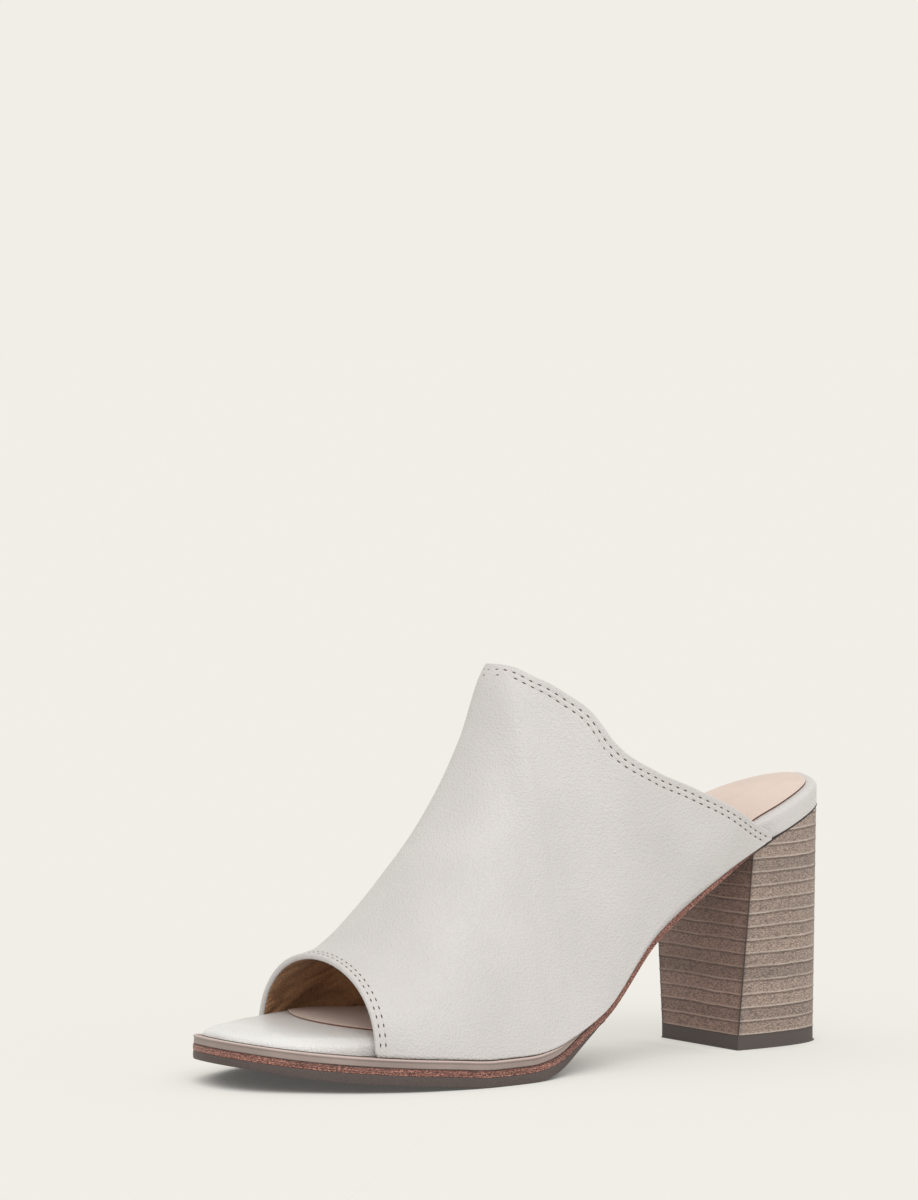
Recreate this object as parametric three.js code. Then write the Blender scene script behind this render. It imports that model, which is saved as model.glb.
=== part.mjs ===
// Left shoe of a pair: an open-toe mule with a high vamp on a stacked block heel, standing empty on heel and ball.
// Millimetres, +X from the heel to the toe, +Y to the outer side of the foot, +Z up.
import * as THREE from 'three';

// Driving dimensions of the last and the sole
const length = 217.5;
const ballWidth = 80;
const heelSeat = 77.3;
const toeSpring = 6.6;
const vampHeight = 111;

// Thicknesses of the layers
const weltThickness = 2.7;
const midsoleThickness = 2.1;
const outsoleThickness = 3.1;
const topPieceThickness = 4.7;
const footbedHeel = 6.4;
const footbedCrown = 0.8;
const liningThickness = 1;
const upperWall = 1.8;

// Ledges and clearances
const joint = 0.3;
const weltLedge = 2.8;
const waistLedge = 0.5;
const weltWidth = 9;
const liningInset = 3;
const sockClearance = 0.45;
const edgeRound = 1.6;

// Block heel
const breast = 38.9;
const heelFootLength = 39.2;
const heelFootWidth = 39.5;
const heelFootShift = -2.2;
const heelFootSquareness = 3;

// Toe opening, and the grids that the curved walls are made on
const openingShare = 0.84;
const openingSkew = 0.08;
const peakCrowding = 1.3;
const soleStations = 44;
const vampStations = 20;
const quarterStations = 27;
const wallLevels = 12;

// Outline of the feather line: half widths as shares of the ball width
const outline = [
  { at: 0, outer: -0.018, inner: -0.018 },
  { at: 0.03, outer: 0.183, inner: -0.212 },
  { at: 0.1, outer: 0.268, inner: -0.302 },
  { at: 0.241, outer: 0.325, inner: -0.33 },
  { at: 0.393, outer: 0.36, inner: -0.285 },
  { at: 0.514, outer: 0.418, inner: -0.306 },
  { at: 0.615, outer: 0.482, inner: -0.41 },
  { at: 0.696, outer: 0.5, inner: -0.487 },
  { at: 0.777, outer: 0.472, inner: -0.506 },
  { at: 0.858, outer: 0.385, inner: -0.466 },
  { at: 0.929, outer: 0.25, inner: -0.375 },
  { at: 0.975, outer: 0.135, inner: -0.272 },
  { at: 1, outer: -0.045, inner: -0.045 },
];

// Side view of the sole's top: pitch is a share of the heel's rise, spring of the toe spring, and
// welt, leather and bed are the thickness of the welt, the midsole and the footbed from heel to toe
const profile = [
  { at: 0, pitch: 1, spring: 0, welt: 0, leather: 0.45, bed: 1 },
  { at: 0.109, pitch: 0.888, spring: 0, welt: 0, leather: 0.45, bed: 0.99 },
  { at: 0.18, pitch: 0.797, spring: 0, welt: 0, leather: 0.5, bed: 0.93 },
  { at: 0.241, pitch: 0.707, spring: 0, welt: 0, leather: 1, bed: 0.87 },
  { at: 0.362, pitch: 0.475, spring: 0, welt: 0, leather: 1.25, bed: 0.8 },
  { at: 0.474, pitch: 0.139, spring: 0, welt: 0.02, leather: 1.25, bed: 0.8 },
  { at: 0.575, pitch: 0.016, spring: 0, welt: 0.9, leather: 1.05, bed: 0.92 },
  { at: 0.626, pitch: 0, spring: 0, welt: 1, leather: 1, bed: 1.1 },
  { at: 0.686, pitch: 0, spring: 0, welt: 1, leather: 1, bed: 1.24 },
  { at: 0.747, pitch: 0, spring: 0.14, welt: 1, leather: 1, bed: 1.18 },
  { at: 0.92, pitch: 0, spring: 0.6, welt: 1, leather: 1, bed: 0.66 },
  { at: 1, pitch: 0, spring: 1, welt: 1, leather: 1, bed: 0.32 },
];

// Arches over the sole, ridge by ridge: height as a share of the vamp height, shift as a share of the ball
// width, and roundness (2 is an ellipse, 1 comes to a narrow ridge, 3 stands upright). In front of the peak
// they are the vamp; behind it only their lower parts are, up to the collar
const arches = [
  { at: 0.14, up: 1.5, shift: -0.081, round: 3 },
  { at: 0.292, up: 1.36, shift: -0.081, round: 3 },
  { at: 0.365, up: 1.25, shift: -0.081, round: 2.6 },
  { at: 0.401, up: 1.19, shift: -0.081, round: 2.2 },
  { at: 0.42, up: 1.16, shift: -0.081, round: 1.9 },
  { at: 0.444, up: 1.12, shift: -0.081, round: 1.5 },
  { at: 0.465, up: 1.09, shift: -0.081, round: 1.3 },
  { at: 0.485, up: 1.055, shift: -0.081, round: 1.12 },
  { at: 0.505, up: 1.027, shift: -0.081, round: 1 },
  { at: 0.523, up: 1.01, shift: -0.081, round: 0.95 },
  { at: 0.535, up: 0.997, shift: -0.081, round: 0.91 },
  { at: 0.568, up: 0.848, shift: -0.079, round: 0.94 },
  { at: 0.593, up: 0.752, shift: -0.076, round: 1.05 },
  { at: 0.621, up: 0.661, shift: -0.072, round: 1.18 },
  { at: 0.649, up: 0.579, shift: -0.067, round: 1.31 },
  { at: 0.686, up: 0.486, shift: -0.062, round: 1.47 },
  { at: 0.721, up: 0.399, shift: -0.058, round: 1.63 },
  { at: 0.755, up: 0.32, shift: -0.055, round: 1.82 },
  { at: 0.791, up: 0.261, shift: -0.052, round: 2.02 },
  { at: 0.828, up: 0.236, shift: -0.05, round: 2.2 },
  { at: 0.858, up: 0.222, shift: -0.048, round: 2.28 },
];

// Collar from its peak to the rear end of the quarters: height over the sole as a share of the vamp height
const collar = [
  { at: 0.535, outer: 0.997, inner: 0.997 },
  { at: 0.52, outer: 0.978, inner: 0.98 },
  { at: 0.505, outer: 0.945, inner: 0.952 },
  { at: 0.485, outer: 0.903, inner: 0.915 },
  { at: 0.444, outer: 0.773, inner: 0.79 },
  { at: 0.42, outer: 0.636, inner: 0.655 },
  { at: 0.4, outer: 0.553, inner: 0.58 },
  { at: 0.365, outer: 0.448, inner: 0.482 },
  { at: 0.302, outer: 0.314, inner: 0.342 },
  { at: 0.234, outer: 0.18, inner: 0.19 },
  { at: 0.18, outer: 0.075, inner: 0.077 },
  { at: 0.146, outer: 0.02, inner: 0.02 },
];

// How far the quarters lean out over the feather line, as a share of the ball width
const flare = [
  { at: 0.14, out: 0 },
  { at: 0.19, out: 0.026 },
  { at: 0.231, out: 0.03 },
  { at: 0.271, out: 0.027 },
  { at: 0.302, out: 0.014 },
  { at: 0.362, out: 0 },
  { at: 1, out: 0 },
];
const flareHeight = 17;

// Smooth curve through a column of a table, with no overshoot between its rows
function through(places, values) {
  const count = places.length;
  const steps = places.slice(1).map((place, i) => place - places[i]);
  const slopes = steps.map((step, i) => (values[i + 1] - values[i]) / step);
  const tangents = places.map((_, i) => {
    if (i === 0) return endSlope(steps[0], steps[1], slopes[0], slopes[1]);
    if (i === count - 1) return endSlope(steps[i - 1], steps[i - 2], slopes[i - 1], slopes[i - 2]);
    const before = slopes[i - 1];
    const after = slopes[i];
    if (before * after <= 0) return 0;
    const a = 2 * steps[i] + steps[i - 1];
    const b = steps[i] + 2 * steps[i - 1];
    return (a + b) / (a / before + b / after);
  });
  return (place) => {
    let i = 0;
    while (i < count - 2 && place > places[i + 1]) i += 1;
    const step = steps[i];
    const t = (place - places[i]) / step;
    if (t < 0) return values[0] + tangents[0] * (place - places[0]);
    if (t > 1) return values[count - 1] + tangents[count - 1] * (place - places[count - 1]);
    const rise = values[i + 1] - values[i];
    const hermite = (3 - 2 * t) * t * t;
    const start = tangents[i] * step * t * (1 - t) * (1 - t);
    const end = tangents[i + 1] * step * t * t * (1 - t);
    return values[i] + rise * hermite + start - end;
  };
}

// Slope at the end of a table from its first two steps
function endSlope(near, next, slope, nextSlope) {
  const value = ((2 * near + next) * slope - near * nextSlope) / (near + next);
  if (value * slope <= 0) return 0;
  if (slope * nextSlope <= 0 && Math.abs(value) > Math.abs(3 * slope)) return 3 * slope;
  return value;
}

const column = (table, name) => through(table.map((row) => row.at), table.map((row) => row[name]));

// The outline is smooth in the angle of a round end, so heel and toe close without a corner
const angleOf = (share) => Math.acos(1 - 2 * THREE.MathUtils.clamp(share, 0, 1));
const outlineAngles = outline.map((row) => angleOf(row.at));
const outerShare = through(outlineAngles, outline.map((row) => row.outer));
const innerShare = through(outlineAngles, outline.map((row) => row.inner));
const outerEdge = (x) => ballWidth * outerShare(angleOf(x / length));
const innerEdge = (x) => ballWidth * innerShare(angleOf(x / length));

// Height of the sole's top, and what a thickness square to it measures straight up
const soleStack = weltThickness + midsoleThickness + outsoleThickness;
const pitch = column(profile, 'pitch');
const spring = column(profile, 'spring');
const seat = (x) => soleStack + (heelSeat - soleStack) * pitch(x / length) + toeSpring * spring(x / length);
const slopeStep = 0.5;
const slope = (x) => (seat(x + slopeStep) - seat(x - slopeStep)) / (2 * slopeStep);
const upright = (x, thickness) => thickness * Math.hypot(1, slope(x));

const weltShare = column(profile, 'welt');
const leatherShare = column(profile, 'leather');
const bedShare = column(profile, 'bed');
const weltDepth = (x) => weltThickness * THREE.MathUtils.clamp(weltShare(x / length), 0, 1);
const leatherDepth = (x) => midsoleThickness * leatherShare(x / length);
const bedHeight = (x) => footbedHeel * bedShare(x / length);

const smoothStep = (x, from, to) => THREE.MathUtils.smoothstep(x, from, to);

// Rim of the last's outline, heel to toe on both sides, moved out by a ledge that changes along the shoe
const rimStep = 0.02;
function rim(ledge, from = 0, to = 1) {
  const loop = (edge, side) => {
    const points = [];
    for (let i = 0; i <= soleStations; i += 1) {
      const angle = angleOf(from) + (angleOf(to) - angleOf(from)) * (i / soleStations);
      const x = (length * (1 - Math.cos(angle))) / 2;
      const before = Math.max(angle - rimStep, 0);
      const after = Math.min(angle + rimStep, Math.PI);
      const dx = (length * (Math.cos(before) - Math.cos(after))) / 2;
      const dy = ballWidth * (edge(after) - edge(before));
      const size = Math.hypot(dx, dy);
      const out = ledge(x);
      const atTip = angle === 0 || angle === Math.PI;
      const along = atTip ? -Math.cos(angle) : (-dy * side) / size;
      const across = atTip ? 0 : (dx * side) / size;
      points.push(new THREE.Vector2(x + along * out, ballWidth * edge(angle) + across * out));
    }
    return points;
  };
  return { outer: loop(outerShare, 1), inner: loop(innerShare, -1) };
}

// Mesh of one closed body from corner points and triangles
function body(points, triangles) {
  const geometry = new THREE.BufferGeometry();
  geometry.setAttribute('position', new THREE.Float32BufferAttribute(points.flat(), 3));
  geometry.setIndex(triangles.flat());
  return geometry;
}

// Body with rings of equal length joined one after the other; each ring runs anticlockwise seen from its start
function skinned(rings, closed = false) {
  const size = rings[0].length;
  const points = rings.flat();
  const triangles = [];
  const joins = closed ? rings.length : rings.length - 1;
  for (let k = 0; k < joins; k += 1) {
    const here = k * size;
    const next = ((k + 1) % rings.length) * size;
    for (let i = 0; i < size; i += 1) {
      const j = (i + 1) % size;
      triangles.push([here + i, here + j, next + j], [here + i, next + j, next + i]);
    }
  }
  if (!closed) {
    const last = (rings.length - 1) * size;
    for (let i = 1; i < size - 1; i += 1) {
      triangles.push([0, i + 1, i], [last, last + i, last + i + 1]);
    }
  }
  return body(points, triangles);
}

// Sheet between two heights over a rim: each station is a ring of points across the shoe
function sheet(edges, top, bottom, across = [0, 1]) {
  const rings = edges.outer.map((outer, i) => {
    const inner = edges.inner[i];
    const place = (share) => [outer.x + (inner.x - outer.x) * share, outer.y + (inner.y - outer.y) * share];
    const upper = across.map((share) => {
      const [x, y] = place(share);
      return [x, y, top(x, y, share)];
    });
    const lower = [...across].reverse().map((share) => {
      const [x, y] = place(share);
      return [x, y, bottom(x, y)];
    });
    return [...upper, ...lower];
  });
  return skinned(rings);
}

// A little width is left at the tips of heel and toe, so that a sheet ends in a narrow face
const tipWidth = 1;
function blunt(edges) {
  for (const i of [0, soleStations]) {
    edges.outer[i].y += tipWidth / 2;
    edges.inner[i].y -= tipWidth / 2;
  }
  return edges;
}

// Rubber outsole: from the rise of the waist to the toe
const ledgeStart = 0.494;
const ledgeFull = 0.636;
const outsoleStart = 0.474;
const outsoleFull = 0.594;
const outsoleFeather = 0.3;
const outsoleTip = 0.78;
const outsoleTipStart = 0.9;
const weltStart = 0.509;
const weltRunIn = 0.025;
const soleLedge = (x) => waistLedge + (weltLedge - waistLedge) * smoothStep(x / length, ledgeStart, ledgeFull);
const outsoleGrowth = (x) => smoothStep(x / length, outsoleStart, outsoleFull);
const outsoleWear = (x) => 1 - (1 - outsoleTip) * smoothStep(x / length, outsoleTipStart, 1);
const outsoleDepth = (x) => {
  const grown = outsoleFeather + (1 - outsoleFeather) * outsoleGrowth(x);
  return outsoleThickness * grown * outsoleWear(x);
};
function outsole() {
  const top = (x) => seat(x) - upright(x, weltDepth(x) + leatherDepth(x) + joint);
  const depth = (x) => weltDepth(x) + leatherDepth(x) + outsoleDepth(x);
  return sheet(blunt(rim(soleLedge, outsoleStart, 1)), top, (x) => seat(x) - upright(x, depth(x)));
}

// Leather midsole: thin over the heel, full in the waist, under the welt in the forepart
function midsole() {
  const recess = (x) => (x / length < weltStart - weltRunIn ? 0 : weltDepth(x) + joint);
  const top = (x) => seat(x) - upright(x, recess(x));
  const bottom = (x) => seat(x) - upright(x, weltDepth(x) + leatherDepth(x));
  return sheet(blunt(rim(soleLedge)), top, bottom);
}

// Welt: a strip round the forepart, open at the waist
function welt() {
  const wide = rim(soleLedge, weltStart, 1);
  const narrow = rim((x) => soleLedge(x) - weltWidth, weltStart, 1);
  const loop = (edges) => [...edges.outer.slice(0, -1), ...[...edges.inner].reverse()];
  const outside = loop(wide);
  const inside = loop(narrow);
  const rings = outside.map((point, i) => {
    const near = inside[i];
    const low = (x) => seat(x) - upright(x, weltDepth(x));
    return [
      [point.x, point.y, seat(point.x)],
      [near.x, near.y, seat(near.x)],
      [near.x, near.y, low(near.x)],
      [point.x, point.y, low(point.x)],
    ];
  });
  return skinned(rings);
}

// Footbed: full width at the heel and in the toe opening, inside the upper between them
const openingPlace = (y) => length * openingShare + openingSkew * y;
const quarterEnd = collar[collar.length - 1].at * length;
const tuck = upperWall + joint;
const tuckNear = 1;
const tuckFar = 5;
const footbedInset = (x) => {
  const openingEnd = openingPlace(ballWidth / 2);
  const behind = smoothStep(x, quarterEnd - tuckFar, quarterEnd - tuckNear);
  const ahead = 1 - smoothStep(x, openingEnd + tuckNear, openingEnd + tuckFar);
  return tuck * behind * ahead;
};
const acrossLining = [0, 0.15, 0.3, 0.5, 0.7, 0.85, 1];
const across = [0, 0.012, 0.04, 0.12, 0.3, 0.5, 0.7, 0.88, 0.96, 0.988, 1];
const crown = (x, y) => {
  const share = THREE.MathUtils.clamp((y - innerEdge(x)) / (outerEdge(x) - innerEdge(x) + joint), 0, 1);
  return footbedCrown * Math.sin(Math.PI * share);
};

function footbed() {
  const round = (share) => {
    const near = Math.min(share, 1 - share) / across[2];
    return near >= 1 ? 0 : edgeRound * (1 - Math.sqrt(1 - (1 - near) ** 2));
  };
  const top = (x, y, share) => seat(x) + upright(x, bedHeight(x) - round(share)) + crown(x, y);
  return sheet(blunt(rim((x) => -footbedInset(x))), top, (x) => seat(x) + upright(x, joint), across);
}

// Sock lining on the footbed, with a round front edge just behind the toe opening
const sockFront = 0.843;
const sockBend = 0.12;
const sockBow = 12;
function sockLining() {
  const edges = rim((x) => -(liningInset + footbedInset(x)), 0, sockFront);
  for (const side of ['outer', 'inner']) {
    for (const point of edges[side]) {
      const reach = smoothStep(point.x / length, sockFront - sockBend, sockFront);
      const sideways = (point.y / (ballWidth / 2)) ** 2;
      point.x -= sockBow * reach * sideways;
    }
  }
  const rise = (x, y) => seat(x) + upright(x, bedHeight(x) + sockClearance) + crown(x, y);
  return sheet(blunt(edges), (x, y) => rise(x, y) + upright(x, liningThickness), rise, acrossLining);
}

// Stacked heel: a straight breast and a round back, from its foot up to the midsole
const heelStops = 14;
function heelRing(share, height) {
  const ring = [];
  for (let i = heelStops; i >= -heelStops; i -= 1) {
    const angle = (i / heelStops) * (Math.PI / 2);
    const side = Math.sign(i);
    const swing = Math.abs(Math.sin(angle));
    const power = 2 / heelFootSquareness;
    const foot = {
      x: breast - heelFootLength * Math.cos(angle) ** power,
      y: heelFootShift + side * (heelFootWidth / 2) * swing ** power,
    };
    const topX = breast * (1 - Math.cos(angle));
    const ledge = i === 0 ? 0 : waistLedge;
    const edge = side >= 0 ? outerEdge(topX) : innerEdge(topX);
    const head = { x: topX - (waistLedge - ledge), y: edge + side * ledge };
    const x = foot.x + (head.x - foot.x) * share;
    const y = foot.y + (head.y - foot.y) * share;
    ring.push([x, y, height(x)]);
  }
  return ring;
}

function heel() {
  const foot = topPieceThickness + joint;
  const head = (x) => seat(x) - upright(x, leatherDepth(x) + joint);
  const low = heelRing(0, () => foot);
  const high = heelRing(1, head);
  return skinned([low, high]);
}

function topPiece() {
  return skinned([heelRing(0, () => 0), heelRing(0, () => topPieceThickness)]);
}

// Upper: its face towards the foot on a grid, then the wall outwards from it
const archUp = column(arches, 'up');
const archShift = column(arches, 'shift');
const archRound = column(arches, 'round');
const flareOut = column(flare, 'out');
const archHeight = (x) => vampHeight * archUp(x / length) - upright(x, joint);

// Point of an arch: angle 0 is at the feather line, a right angle at the ridge
function wallPoint(x, side, angle) {
  const share = x / length;
  const middle = ballWidth * archShift(share);
  const foot = side > 0 ? outerEdge(x) : innerEdge(x);
  const up = upright(x, joint) + archHeight(x) * Math.sin(angle) ** (2 / archRound(share));
  const lean = Math.sin((Math.PI / 2) * Math.min(1, up / flareHeight));
  const out = side * ballWidth * flareOut(share) * lean;
  return [x, middle + (foot - middle) * Math.cos(angle) + out, seat(x) + up];
}

// Place and height of the collar on one side, and the angle at which it cuts the arch there
const collarPlace = (row, name) => new THREE.Vector3(row.at * length, 0, row[name] * vampHeight);
const collarLine = (name) => new THREE.CatmullRomCurve3(
  collar.map((row) => collarPlace(row, name)),
  false,
  'centripetal',
);
function collarAngle(x, up) {
  const share = THREE.MathUtils.clamp((up - upright(x, joint)) / archHeight(x), 0, 1);
  return Math.asin(share ** (archRound(x / length) / 2));
}

function upperFace() {
  const points = [];
  const triangles = [];
  const peak = collar[0].at * length;
  const columns = 2 * wallLevels;
  const levelOf = (j) => (j <= wallLevels ? j / wallLevels : (columns - j) / wallLevels);
  const sideOf = (j) => (j <= wallLevels ? 1 : -1);
  const quad = (a, b, c, d) => triangles.push([a, b, c], [a, c, d]);

  for (let i = 0; i <= vampStations; i += 1) {
    for (let j = 0; j <= columns; j += 1) {
      const angle = (Math.PI / 2) * levelOf(j);
      const sample = wallPoint(length * openingShare, sideOf(j), angle);
      const front = openingPlace(sample[1]);
      const x = peak + (front - peak) * (i / vampStations);
      points.push(wallPoint(x, sideOf(j), angle));
    }
  }
  const vamp = (i, j) => i * (columns + 1) + j;
  for (let i = 0; i < vampStations; i += 1) {
    for (let j = 0; j < columns; j += 1) {
      quad(vamp(i, j), vamp(i + 1, j), vamp(i + 1, j + 1), vamp(i, j + 1));
    }
  }

  for (const side of [1, -1]) {
    const first = points.length;
    const line = collarLine(side > 0 ? 'outer' : 'inner');
    for (let k = 1; k <= quarterStations; k += 1) {
      const { x, z } = line.getPointAt((k / quarterStations) ** peakCrowding);
      const reach = collarAngle(x, z);
      for (let j = 0; j <= wallLevels; j += 1) points.push(wallPoint(x, side, (reach * j) / wallLevels));
    }
    const quarter = (k, j) => {
      if (k === 0) return vamp(0, side > 0 ? j : columns - j);
      return first + (k - 1) * (wallLevels + 1) + j;
    };
    for (let k = 0; k < quarterStations; k += 1) {
      for (let j = 0; j < wallLevels; j += 1) {
        const corners = [quarter(k, j), quarter(k, j + 1), quarter(k + 1, j + 1), quarter(k + 1, j)];
        if (side < 0) corners.reverse();
        quad(...corners);
      }
    }
  }
  return { points, triangles };
}

// Gives an open face its wall: a second face behind it, and a strip along every free edge
function walled(face, thickness, settle) {
  const geometry = body(face.points, face.triangles);
  geometry.computeVertexNormals();
  const normals = geometry.getAttribute('normal');
  const count = face.points.length;
  const behind = face.points.map((point, i) => settle(i, [
    point[0] - thickness * normals.getX(i),
    point[1] - thickness * normals.getY(i),
    point[2] - thickness * normals.getZ(i),
  ]));
  const triangles = [...face.triangles, ...face.triangles.map(([a, b, c]) => [a + count, c + count, b + count])];
  const edges = new Map();
  for (const [a, b, c] of face.triangles) {
    for (const [from, to] of [[a, b], [b, c], [c, a]]) edges.set(`${from} ${to}`, [from, to]);
  }
  for (const [from, to] of edges.values()) {
    if (edges.has(`${to} ${from}`)) continue;
    triangles.push([from, from + count, to + count], [from, to + count, to]);
  }
  return body([...face.points, ...behind], triangles);
}

function upper() {
  const face = upperFace();
  const footHeight = (x) => seat(x) + upright(x, joint);
  const atFoot = face.points.map(([x, , z]) => z - footHeight(x) < 0.001);
  return walled(face, upperWall, (i, point) => {
    if (atFoot[i]) point[2] = footHeight(point[0]);
    return point;
  });
}

const finishes = {
  whiteLeather: { color: 0xdcd7cf, roughness: 0.5 },
  tanLeather: { color: 0xe6cdb4, roughness: 0.7 },
  soleLeather: { color: 0x8c5547, roughness: 0.6 },
  weltLeather: { color: 0x968782, roughness: 0.6 },
  stackedLeather: { color: 0x8c7869, roughness: 0.75 },
  rubber: { color: 0x534c48, roughness: 0.8 },
};

const pieces = [
  ['outsole', outsole, 'rubber'],
  ['midsole', midsole, 'soleLeather'],
  ['welt', welt, 'weltLeather'],
  ['heel', heel, 'stackedLeather'],
  ['top_piece', topPiece, 'rubber'],
  ['footbed', footbed, 'whiteLeather'],
  ['sock_lining', sockLining, 'tanLeather'],
  ['upper', upper, 'whiteLeather'],
];

const shoe = new THREE.Group();
for (const [name, make, finish] of pieces) {
  const material = new THREE.MeshStandardMaterial({ ...finishes[finish], metalness: 0 });
  const mesh = new THREE.Mesh(make(), material);
  mesh.name = name;
  shoe.add(mesh);
}

// The origin is the middle of the box's bottom
const box = new THREE.Box3().setFromObject(shoe);
const centre = box.getCenter(new THREE.Vector3());
shoe.position.set(-centre.x, -centre.y, -box.min.z);

export default shoe;
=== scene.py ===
"""An open-toe mule in pale leather on a stacked block heel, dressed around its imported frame.

Lengths are worked out in millimetres from the back of the heel seat, x to the toe and y to the outer
side of the foot, and placed into the frame in metres.
"""

import bmesh
import bpy
import numpy as np
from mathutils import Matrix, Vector


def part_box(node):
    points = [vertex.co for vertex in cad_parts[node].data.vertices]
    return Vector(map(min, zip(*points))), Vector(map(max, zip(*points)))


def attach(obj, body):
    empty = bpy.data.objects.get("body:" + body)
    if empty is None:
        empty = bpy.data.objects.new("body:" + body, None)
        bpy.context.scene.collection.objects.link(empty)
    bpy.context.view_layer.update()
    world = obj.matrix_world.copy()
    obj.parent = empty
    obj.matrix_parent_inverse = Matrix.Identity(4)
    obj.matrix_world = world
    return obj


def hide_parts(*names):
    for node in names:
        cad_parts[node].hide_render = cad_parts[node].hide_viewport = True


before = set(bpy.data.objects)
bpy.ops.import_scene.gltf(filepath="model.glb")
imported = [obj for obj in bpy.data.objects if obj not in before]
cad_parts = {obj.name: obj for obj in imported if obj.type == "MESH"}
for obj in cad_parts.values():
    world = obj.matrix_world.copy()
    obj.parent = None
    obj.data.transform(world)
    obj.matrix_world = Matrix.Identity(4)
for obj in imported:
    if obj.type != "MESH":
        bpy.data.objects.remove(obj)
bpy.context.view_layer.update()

bl_info = {
    "name": "Open-toe mule",
    "version": (1, 0, 0),
    "blender": (4, 5, 0),
    "location": "View3D > Sidebar > Mule",
    "description": "Dresses a mule's frame in leather, lining, stitches, layered sole and stacked heel",
    "category": "Object",
}

MM = 0.001
HEEL_SHIFT = -2.2
LIFT_LOW, LIFT_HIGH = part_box("top_piece")
ORIGIN_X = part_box("footbed")[0][0] / MM
ORIGIN_Y = (LIFT_LOW[1] + LIFT_HIGH[1]) / 2 / MM - HEEL_SHIFT

# Sizes of the last and the sole, as the frame has them
LENGTH = 217.5
BALL_WIDTH = 80.0
HEEL_SEAT = 77.3
TOE_SPRING = 6.6
VAMP_HEIGHT = 111.0
WELT_THICKNESS = 2.7
MIDSOLE_THICKNESS = 2.1
OUTSOLE_THICKNESS = 3.1
LIFT_THICKNESS = 4.7
FOOTBED_HEIGHT = 6.4
FOOTBED_CROWN = 0.8
UPPER_WALL = 1.8
JOINT = 0.3
FOOTBED_TUCK = 1.3
WELT_LEDGE = 2.8
WAIST_LEDGE = 0.5
WELT_WIDTH = 9.0
LINING_INSET = 3.0
BREAST = 38.9
HEEL_FOOT_LENGTH = 39.2
HEEL_FOOT_WIDTH = 39.5
HEEL_SQUARENESS = 3.0
OPENING_SHARE = 0.84
OPENING_SKEW = 0.08
SOLE_STACK = WELT_THICKNESS + MIDSOLE_THICKNESS + OUTSOLE_THICKNESS

# Outline of the feather line: place along, then half widths outside and inside as shares of the ball width
OUTLINE = np.array([
    (0, -0.018, -0.018), (0.03, 0.183, -0.212), (0.1, 0.268, -0.302), (0.241, 0.325, -0.33),
    (0.393, 0.36, -0.285), (0.514, 0.418, -0.306), (0.615, 0.482, -0.41), (0.696, 0.5, -0.487),
    (0.777, 0.472, -0.506), (0.858, 0.385, -0.466), (0.929, 0.25, -0.375), (0.975, 0.135, -0.272),
    (1, -0.045, -0.045),
])
# Side view: place, heel pitch, toe spring, and shares of the welt, the midsole and the footbed
PROFILE = np.array([
    (0, 1, 0, 0, 0.45, 1), (0.109, 0.888, 0, 0, 0.45, 0.99), (0.18, 0.797, 0, 0, 0.5, 0.93),
    (0.241, 0.707, 0, 0, 1, 0.87), (0.362, 0.475, 0, 0, 1.25, 0.8), (0.474, 0.139, 0, 0.02, 1.25, 0.8),
    (0.575, 0.016, 0, 0.9, 1.05, 0.92), (0.626, 0, 0, 1, 1, 1.1), (0.686, 0, 0, 1, 1, 1.24),
    (0.747, 0, 0.14, 1, 1, 1.18), (0.92, 0, 0.6, 1, 1, 0.66), (1, 0, 1, 1, 1, 0.32),
])
# Arches of the upper: place, height as a share of the vamp height, shift of the ridge, roundness
ARCHES = np.array([
    (0.14, 1.5, -0.081, 3), (0.292, 1.36, -0.081, 3), (0.365, 1.25, -0.081, 2.6), (0.401, 1.19, -0.081, 2.2),
    (0.42, 1.16, -0.081, 1.9), (0.444, 1.12, -0.081, 1.5), (0.465, 1.09, -0.081, 1.3),
    (0.485, 1.055, -0.081, 1.12), (0.505, 1.027, -0.081, 1), (0.523, 1.01, -0.081, 0.95),
    (0.535, 0.997, -0.081, 0.91), (0.568, 0.848, -0.079, 0.94), (0.593, 0.752, -0.076, 1.05),
    (0.621, 0.661, -0.072, 1.18), (0.649, 0.579, -0.067, 1.31), (0.686, 0.486, -0.062, 1.47),
    (0.721, 0.399, -0.058, 1.63), (0.755, 0.32, -0.055, 1.82), (0.791, 0.261, -0.052, 2.02),
    (0.828, 0.236, -0.05, 2.2), (0.858, 0.222, -0.048, 2.28),
])
# Collar from the peak to the rear end of the quarters: place, height outside, height inside
COLLAR = np.array([
    (0.535, 0.997, 0.997), (0.52, 0.978, 0.98), (0.505, 0.945, 0.952), (0.485, 0.903, 0.915),
    (0.444, 0.773, 0.79), (0.42, 0.636, 0.655), (0.4, 0.553, 0.58), (0.365, 0.448, 0.482),
    (0.302, 0.314, 0.342), (0.234, 0.18, 0.19), (0.18, 0.075, 0.077), (0.146, 0.02, 0.02),
])
# How far the quarters lean out, as a share of the ball width
FLARE = np.array([
    (0.14, 0), (0.19, 0.026), (0.231, 0.03), (0.271, 0.027), (0.302, 0.014), (0.362, 0), (1, 0),
])
FLARE_HEIGHT = 17.0
WRAP_DROP = 0.6
QUARTER_END = COLLAR[-1, 0] * LENGTH
OUTSOLE_START, OUTSOLE_FULL, OUTSOLE_FEATHER = 0.466, 0.594, 0.12
OUTSOLE_TIP, OUTSOLE_TIP_START = 0.78, 0.9
SKIVED_LENGTH = 6.0
WELT_START = 0.492
LEDGE_START, LEDGE_FULL = 0.494, 0.636
OUTSOLE_SPINE_START = LENGTH * (OUTSOLE_START + 0.03)
LAYER_GAP = 0.05
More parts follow.
